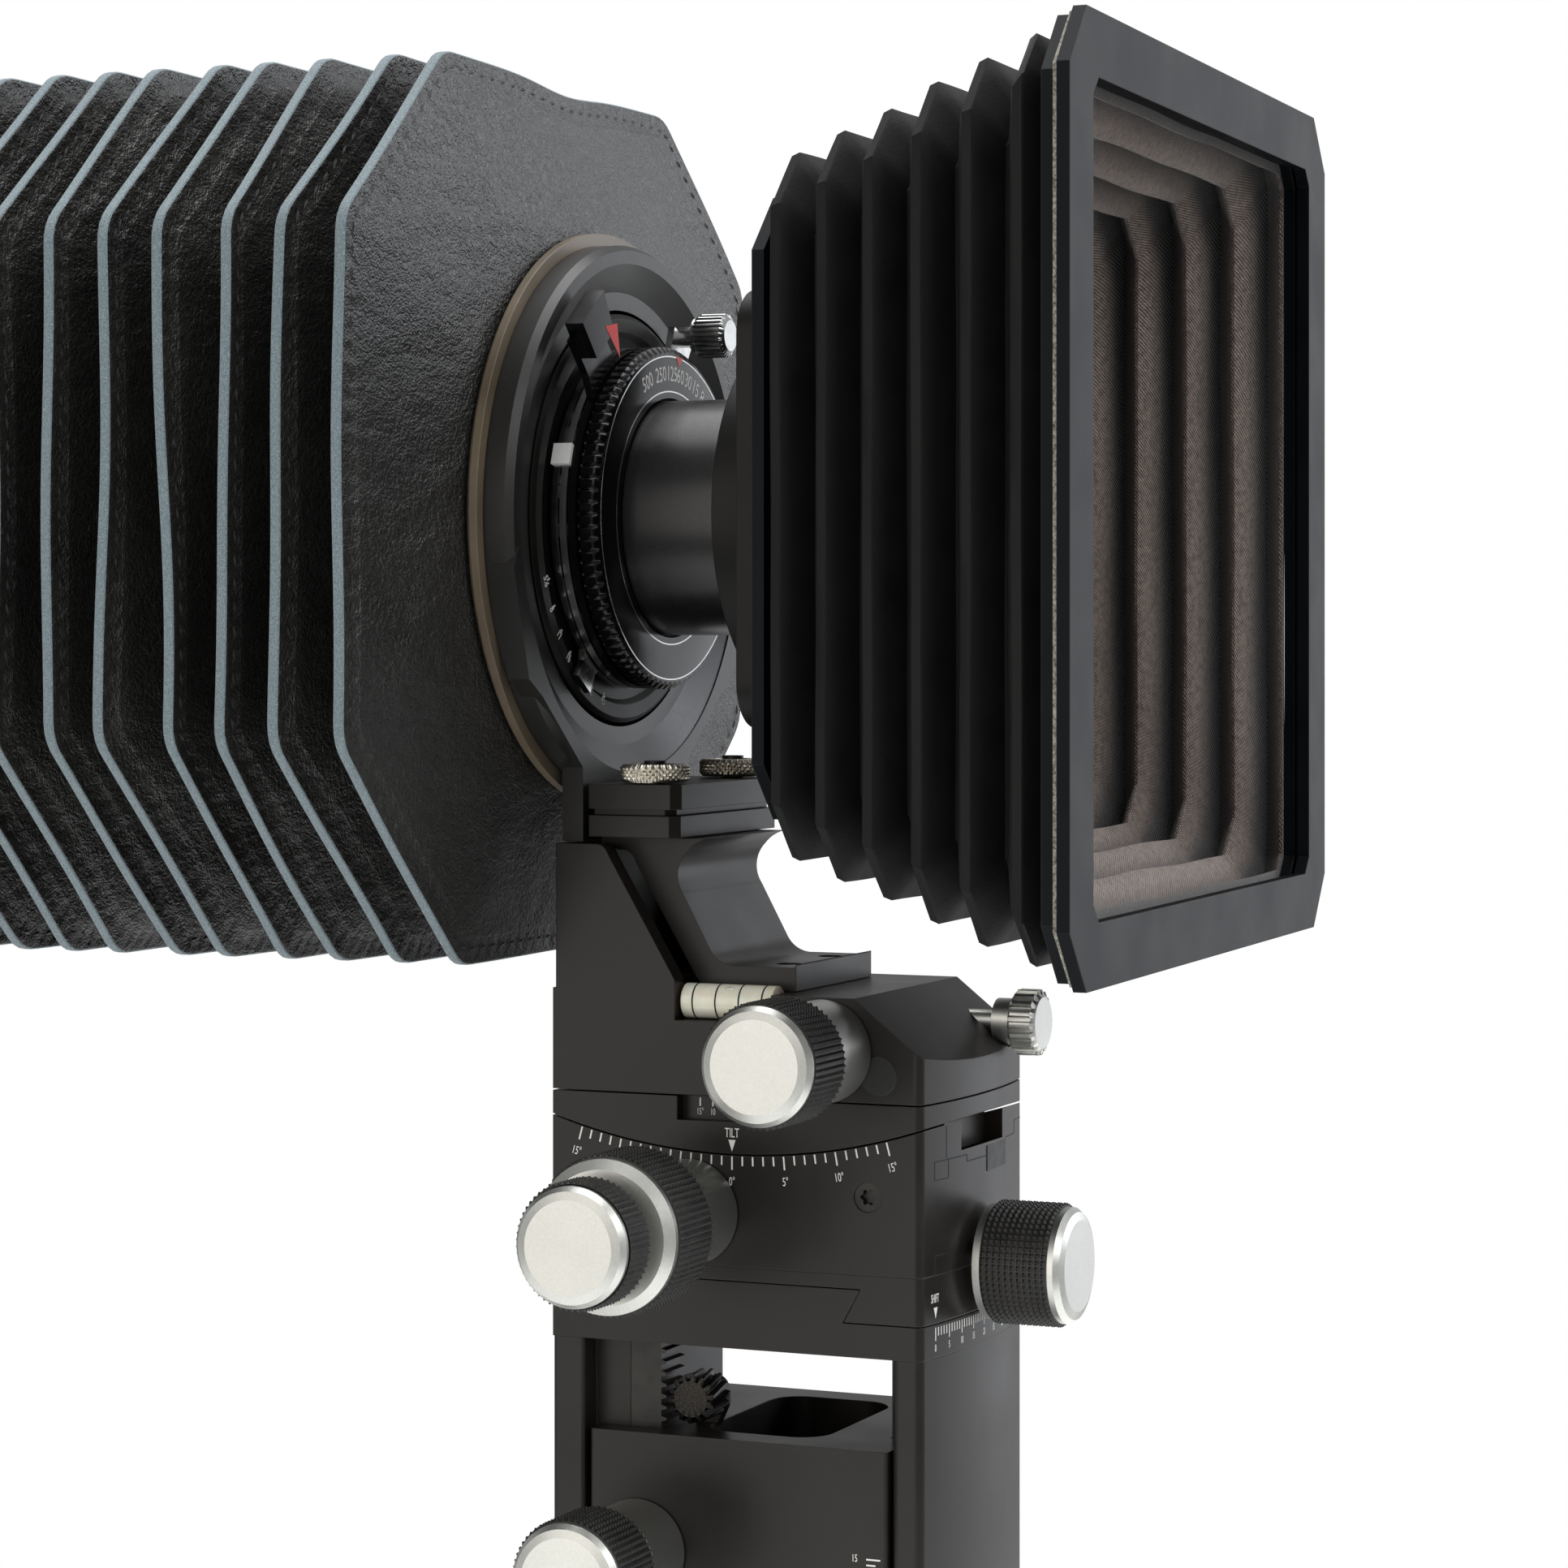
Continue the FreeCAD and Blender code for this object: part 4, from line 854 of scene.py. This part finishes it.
def arrow(width, height, at):
    """Triangle that points down at `at`."""
    return flat([(0, 0), (width / 2, height), (-width / 2, height)], 0.0, at)


def side_plane(x):
    """Plane of a near side face: right is towards the lens, out is away from the camera body."""
    return lambda p: np.stack([x - p[:, 2], -p[:, 0], p[:, 1]], -1)


def nose_plane(p):
    """The rounded front face: right is +X, out is towards the lens."""
    y = NOSE + NOSE_R - np.sqrt(NOSE_R ** 2 - p[:, 0] ** 2)
    return np.stack([p[:, 0], y - p[:, 2], p[:, 1]], -1)


def front_plane(y):
    """A flat plane that faces the lens's way."""
    return lambda p: np.stack([p[:, 0], y - p[:, 2], p[:, 1]], -1)


def marks(name, parts, plane, finish, body):
    """Marks on one plane as one piece."""
    points, faces = joined(parts)
    return settle(piece(name, place(plane(points)), faces, [finish], sharp=30.0), body)


near = side_plane(-HALF - 0.02)
marks("tilt_scale", [bar(0.28, 2.35 if degree % 5 == 0 else 1.6, np.radians(degree),
                         on_circle(112.64, degree - 90)) for degree in range(-15, 16)]
      + [word("%d°" % abs(degree), 1.5, 0.62, np.radians(degree), on_circle(117.1, degree - 90))
         for degree in range(-15, 16, 5)], near, white_paint, "front_shift_body")
marks("tilt_marker", [arrow(1.35, 2.0, (0, -111.75)), word("TILT", 1.65, 0.6, 0, (0, -108.6))],
      near, white_paint, "front_tilt_body")
marks("swing_scale", [bar(0.28, 1.5, 0, (-28 * np.radians(degree), -102.9))
                      for degree in range(-15, 16, 5)]
      + [word("%d%s" % (abs(degree), "°" * (abs(degree) == 15)), 1.15, 0.6, 0,
              (-28 * np.radians(degree), -105.4)) for degree in range(-15, 16, 5)],
      side_plane(-22.32), white_paint, "front_tilt_body")
marks("shift_scale", [bar(0.26, 2.3 if x % 5 == 0 else 1.5, 0, (x, -141.0))
                      for x in range(-20, 21)]
      + [word(str(20 - abs(x)), 1.25, 0.62, 0, (x, -144.6)) for x in range(-20, 21, 5)],
      nose_plane, white_paint, "front_lift")
marks("shift_marker", [arrow(1.3, 1.9, (-20, -139.4)), word("SHIFT", 1.5, 0.5, 0, (-20.2, -136))],
      nose_plane, white_paint, "front_shift_body")
marks("rise_scale", [bar(0.28, 2.6 if z % 5 == 0 else 1.7, np.pi / 2, (25.4, -181.0 - z))
                     for z in range(0, 16)]
      + [word(str(15 - z), 1.3, 0.62, 0, (23.2, -181.0 - z)) for z in (0, 5, 10, 15)],
      near, white_paint, "front_carrier")
marks("focus_scale", [bar(0.28, 2.6 if x % 10 == 0 else 1.5, 0, (x - 85.0, -234.5))
                      for x in range(-90, 130)]
      + [word(str(abs(x)), 1.6, 0.62, 0, (x - 85.0, -239.2)) for x in range(-90, 130, 10)],
      side_plane(-15.02), white_paint, "rail")

# Seams between the keyed halves on the rounded face, drawn as thin near-black strips of painted
# shade, and the tab that closes them
SEAM_WIDTH = 0.22
SEAMS = [[(-16.2, -106.6), (-16.2, -112.2)],
         [(-15.4, -112.4), (-15.4, -115.6), (-20.4, -115.6), (-20.4, -112.4), (-8.0, -112.4),
          (-8.0, -113.6), (1.2, -113.6)],
         [(12.2, -111.6), (18.6, -111.6), (18.6, -109.3), (24.0, -109.3)],
         [(-15.4, -132.0), (-15.4, -128.6), (-20.4, -128.6), (-20.4, -132.0)]]
seam_shade_strips = []
for line in SEAMS:
    for (x0, z0), (x1, z1) in zip(line, line[1:]):
        wide, high = max(abs(x1 - x0), SEAM_WIDTH), max(abs(z1 - z0), SEAM_WIDTH)
        steps = max(1, int(wide / 3))    # short enough to follow the round face
        half = wide / steps / 2
        seam_shade_strips += [flat(rectangle((-half, half), (-high / 2, high / 2)), 0.0,
                      (min(x0, x1) + half * (2 * k + 1), (z0 + z1) / 2)) for k in range(steps)]
marks("front_seam_painted_shade", seam_shade_strips, nose_plane, shadow, "front_shift_body")
marks("front_key_tab", [flat(rectangle((1.4, 12.0), (-116.4, -111.9)), thick=0.25)], nose_plane,
      nylon, "front_shift_body")


# ---------------- shutter and lens

def lugs(angle, profile):
    """Relief of the speed ring's rim: ninety wide lugs between narrow notches."""
    rim = (profile[None, :, 0] > 31.0) & (profile[None, :, 1] < 27.0)
    return -0.35 * rim * np.clip(4 * np.cos(angle * 90) - 2.4, 0, 1)


turned_piece("speed_ring_rim", [(21.9, 23.3), (29.6, 23.3), (30.4, 23.55), (31.1, 24.2),
                                (31.3, 24.5), (31.3, 26.6), (31.1, 26.9), (30.9, 27.2),
                                (29.95, 27.2), (29.95, 25.7), (21.9, 25.7)],
             "y", (0, 0, 0), chromed_black, "speed_ring", "black_anodised",
             ["shutter_speed_ring"], 720, lugs, 30.0)
speeds = [("500", 112.8), ("250", 99.9), ("125", 89.5), ("60", 81.5), ("30", 74.0), ("15", 66.5),
          ("8", 59.5), ("4", 53), ("2", 46.5), ("1", 40), ("B", 33), ("T", 25)]
marks("speed_numbers",
      [word(text, 2.7, 0.8, np.radians(angle - 90), on_circle(26.2, angle))
       for text, angle in speeds], front_plane(23.28), white_paint, "speed_ring")
marks("speed_index", [flat([(-1.5, 0.7), (1.5, 0.7), (0.3, -0.9), (-0.3, -0.9)][::-1],
                           np.radians(-6), (3.3, 28.9))], front_plane(23.26), red_paint,
      "speed_ring")
for name, r in (("speed_line_outer", 29.4), ("speed_line_inner", 23.0)):
    turned_piece(name, rectangle((r, r + 0.22), (23.26, 23.34)), "y", (0, 0, 0), bright,
                 "speed_ring")
marks("cocking_mark", [flat([(-23.4, 33.6), (-17.4, 28.4), (-18.6, 34.4)], thick=0.06)],
      front_plane(25.37), red_paint, "cocking")
x, z = on_circle(39.0, 62)
turned_piece("release_button", [(0, 19.6), (2.9, 19.6), (3.4, 20.0), (4.1, 20.4), (4.1, 25.2),
                                (3.4, 26.4), (2.0, 26.6), (0, 26.6)], "y", (x, 0, z), bright,
             "release", "bright_steel", turns=180, relief=lobes(26, 0.35), sharp=30.0)


def on_barrel(r):
    """The shutter's round wall unrolled: right is the way round towards the lens's front, up is
    the way round from -X towards +Z, both in millimetres, out is away from the axis."""
    def plane(p):
        angle = np.pi - p[:, 1] / r
        return np.stack([(r + p[:, 2]) * np.cos(angle), -p[:, 0], (r + p[:, 2]) * np.sin(angle)],
                        -1)
    return plane


def disc(r, count=24):
    """Outline of a circle."""
    t = np.arange(count) * 2 * np.pi / count
    return np.stack([r * np.cos(t), r * np.sin(t)], -1)


wall = on_barrel(29.55)
marks("shutter_wall_plate", [flat(rectangle((-32.4, -27.4), (16.4, 31.0)), thick=0.6)], wall,
      chromed_black, "lens_head")
marks("shutter_terminals", [flat(rectangle((-31.3, -28.0), (12.1, 16.2)), thick=1.0),
                            flat(rectangle((-32.4, -29.5), (3.0, 7.0)), thick=1.0)], wall,
      enamel_label, "lens_head")
marks("shutter_terminal_block", [flat(rectangle((-32.6, -29.0), (8.4, 12.0)), thick=5.0)], wall,
      white_paint, "lens_head")
marks("shutter_label", [flat(rectangle((-32.0, -27.6), (-14.0, -1.6)), thick=0.7)], wall,
      enamel_label, "lens_head")
SCREWS = (((-29.9, 18.4), 0.5), ((-29.6, 14.1), 1.4), ((-31.0, 5.0), 0.8), ((-29.6, -19.2), 2.2))
marks("shutter_wall_screws", [flat(disc(1.15), 0, at, 1.7) for at, _ in SCREWS], wall, bright,
      "lens_head")
# Painted shade: near-black strips on the screw heads stand for the shade down in their slots
marks("shutter_screw_slot_shade", [flat(rectangle((-0.95, 0.95), (-0.16, 0.16)), turn, at, 1.76)
                              for at, turn in SCREWS], wall, shadow, "lens_head")
stops = [(text, 200 + 9 * k) for k, text in enumerate(("5.6", "8", "11", "16", "22", "32", "45"))]
marks("aperture_scale",
      [word(text, 1.7, 0.7, np.radians(angle + 90), on_circle(34.6, angle))
       for text, angle in stops]
      + [bar(0.26, 1.1, np.radians(angle + 90), on_circle(33.1, angle)) for _, angle in stops],
      front_plane(32.58), white_paint, "lens_head")

# Baffle grooves inside the lens barrel's mouth
turned_piece("front_baffle", [(16.95, 3.7), (18.9, 3.7), (19.7, 1.7), (19.4, 1.7), (18.9, 2.4),
                              (18.5, 2.4), (18.3, 3.0), (17.8, 3.0), (17.6, 3.5), (16.95, 3.5)],
             "y", (0, 0, 0), barrel, "lens_head")

# Focusing screen's pencil grid on the glass, 10 mm squares
low, high = span("ground_glass")
lines = [flat(rectangle((x - 0.06, x + 0.06), (low[2] + 3, high[2] - 3)), thick=0.02)
         for x in range(-60, 61, 10)]
lines += [flat(rectangle((low[0] + 3, high[0] - 3), (z - 0.06, z + 0.06)), thick=0.02)
          for z in range(-40, 41, 10)]
marks("screen_grid", lines, front_plane(high[1] + 0.02), shadow, "rear_standard")


# ---------------- finishes of the CAD nodes

anodised_ring = turned("aluminium_black_anodised_ring", "#121211", "#1b1a19", (0.3, 0.4), "Y",
                       metallic=0.0)
blackened = grained("steel_blackened_machined", "#1a1918", "#33312e", (0.3, 0.42), 5.0, 0.01, 0.2,
                    Metallic=0.5)
for finish, nodes in (
        (brown_black, ("front_swing_housing", "front_tilt_cradle", "front_tilt_base",
                       "front_shift_slide", "front_shift_base", "front_carriage",
                       "front_face_post", "front_rear_post", "gooseneck", "rear_carriage",
                       "rear_riser", "clamp_plate_lower", "clamp_plate_upper")),
        (anodised, ("lens_board", "rear_frame", "ground_glass_frame", "monorail",
                    "tripod_block", "hood_adapter")),
        (anodised_ring, ("lens_ring_holder", "shutter_body")),
        (bronze, ("bellows_ring",)),
        (enamel, ("hood_mask_frame", "hood_flange", "hood_rear_frame")),
        (barrel, ("front_cell", "rear_cell")),
        (chromed_black, ("cocking_lever",)),
        (bright, ("release_lever", "aperture_lever")),
        (blackened, ("gooseneck_screws", "front_tilt_base_screws", "front_rise_rack")),
        (nylon, ("rail_end_caps",)),
        (lens_glass, ("front_lens", "rear_lens")),
        (frosted, ("ground_glass",))):
    for node in nodes:
        finishes[node] = finish
for node, finish in finishes.items():
    mesh = frame["nodes"][node].data
    mesh.materials.clear()
    mesh.materials.append(finish)


# ---------------- camera, light and floor

def aimed(made, at, target):
    """Puts a light or camera at a point, in millimetres, and turns it to face another."""
    made.location = place(at)
    made.rotation_euler = (Vector(place(target)) - made.location).to_track_quat(
        "-Z", "Y").to_euler()
    bpy.context.scene.collection.objects.link(made)
    return made


EYE = np.array((-692.323, -297.912, -20.348))
LOOK = np.array((*on_circle(1.0, 23.344), 0.0))     # level, from the left and a little ahead
view = bpy.data.cameras.new("view")
view.lens, view.sensor_width, view.shift_y = 95.80, 36.0, -0.0986
view.clip_start, view.clip_end = 0.05, 20.0
bpy.context.scene.camera = aimed(bpy.data.objects.new("view", view), EYE, EYE + 500 * LOOK)


def softbox(name, at, target, size, radiance, tint):
    """Square soft light whose face shines with a stated radiance."""
    lamp = bpy.data.lights.new(name, "AREA")
    lamp.shape, lamp.size = "SQUARE", size * MM
    lamp.energy = radiance * np.pi * (size * MM) ** 2
    lamp.color = linear(tint)[:3]
    aimed(bpy.data.objects.new(name, lamp), at, target)


for lamp in (("key_front_left", (-700, -1500, 900), (0, 0, 0), 900, 4.0, "#ffffff"),
             ("side_left", (-1900, 600, 200), (0, 40, -60), 1700, 1.45, "#fff9f2"),
             ("front_right", (1050, -1350, 650), (-40, 40, 40), 900, 6.0, "#f3f7ff"),
             ("side_right", (1800, -900, 100), (0, 0, -20), 1400, 1.0, "#f6f9ff"),
             ("top", (200, 0, 1500), (0, 0, 0), 1500, 4.2, "#ffffff"),
             ("back_right", (1400, 1500, 500), (0, 0, 0), 1000, 1.2, "#ffffff")):
    softbox(*lamp)

world = bpy.data.worlds.new("studio")
world.use_nodes = True
world.node_tree.nodes.clear()
seen = add(world.node_tree, "LightPath", out="Is Camera Ray")
strength = add(world.node_tree, "MapRange", {"Value": seen, "To Min": 0.42, "To Max": 1.0})
add(world.node_tree, "OutputWorld", {"Surface": add(world.node_tree, "Background", {
    "Color": (1, 1, 1, 1), "Strength": strength})})
bpy.context.scene.world = world
bpy.context.scene.view_settings.view_transform = "Standard"

# Seamless paper, lit so that it burns out to white away from the camera's shadow
paper, tree, spot = begin("paper_white_seamless")
fibre = add(tree, "TexNoise", {"Vector": spot, "Scale": 0.4, "Detail": 4.0})
shade = add(tree, "ValToRGB", {"Fac": fibre}, [(0.3, "#f1f1f0"), (0.7, "#fbfbfa")])
close(tree, {"Base Color": shade, "Roughness": 0.9,
             "Normal": add(tree, "Bump", {"Height": fibre, "Distance": 0.02 * MM}),
             "Emission Color": shade, "Emission Strength": 0.35})
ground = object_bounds()[0][2] - 0.0002
floor = piece("floor", np.pad(disc(0.385, 96), ((0, 0), (0, 1)), constant_values=ground),
              [list(range(96))], [paper])
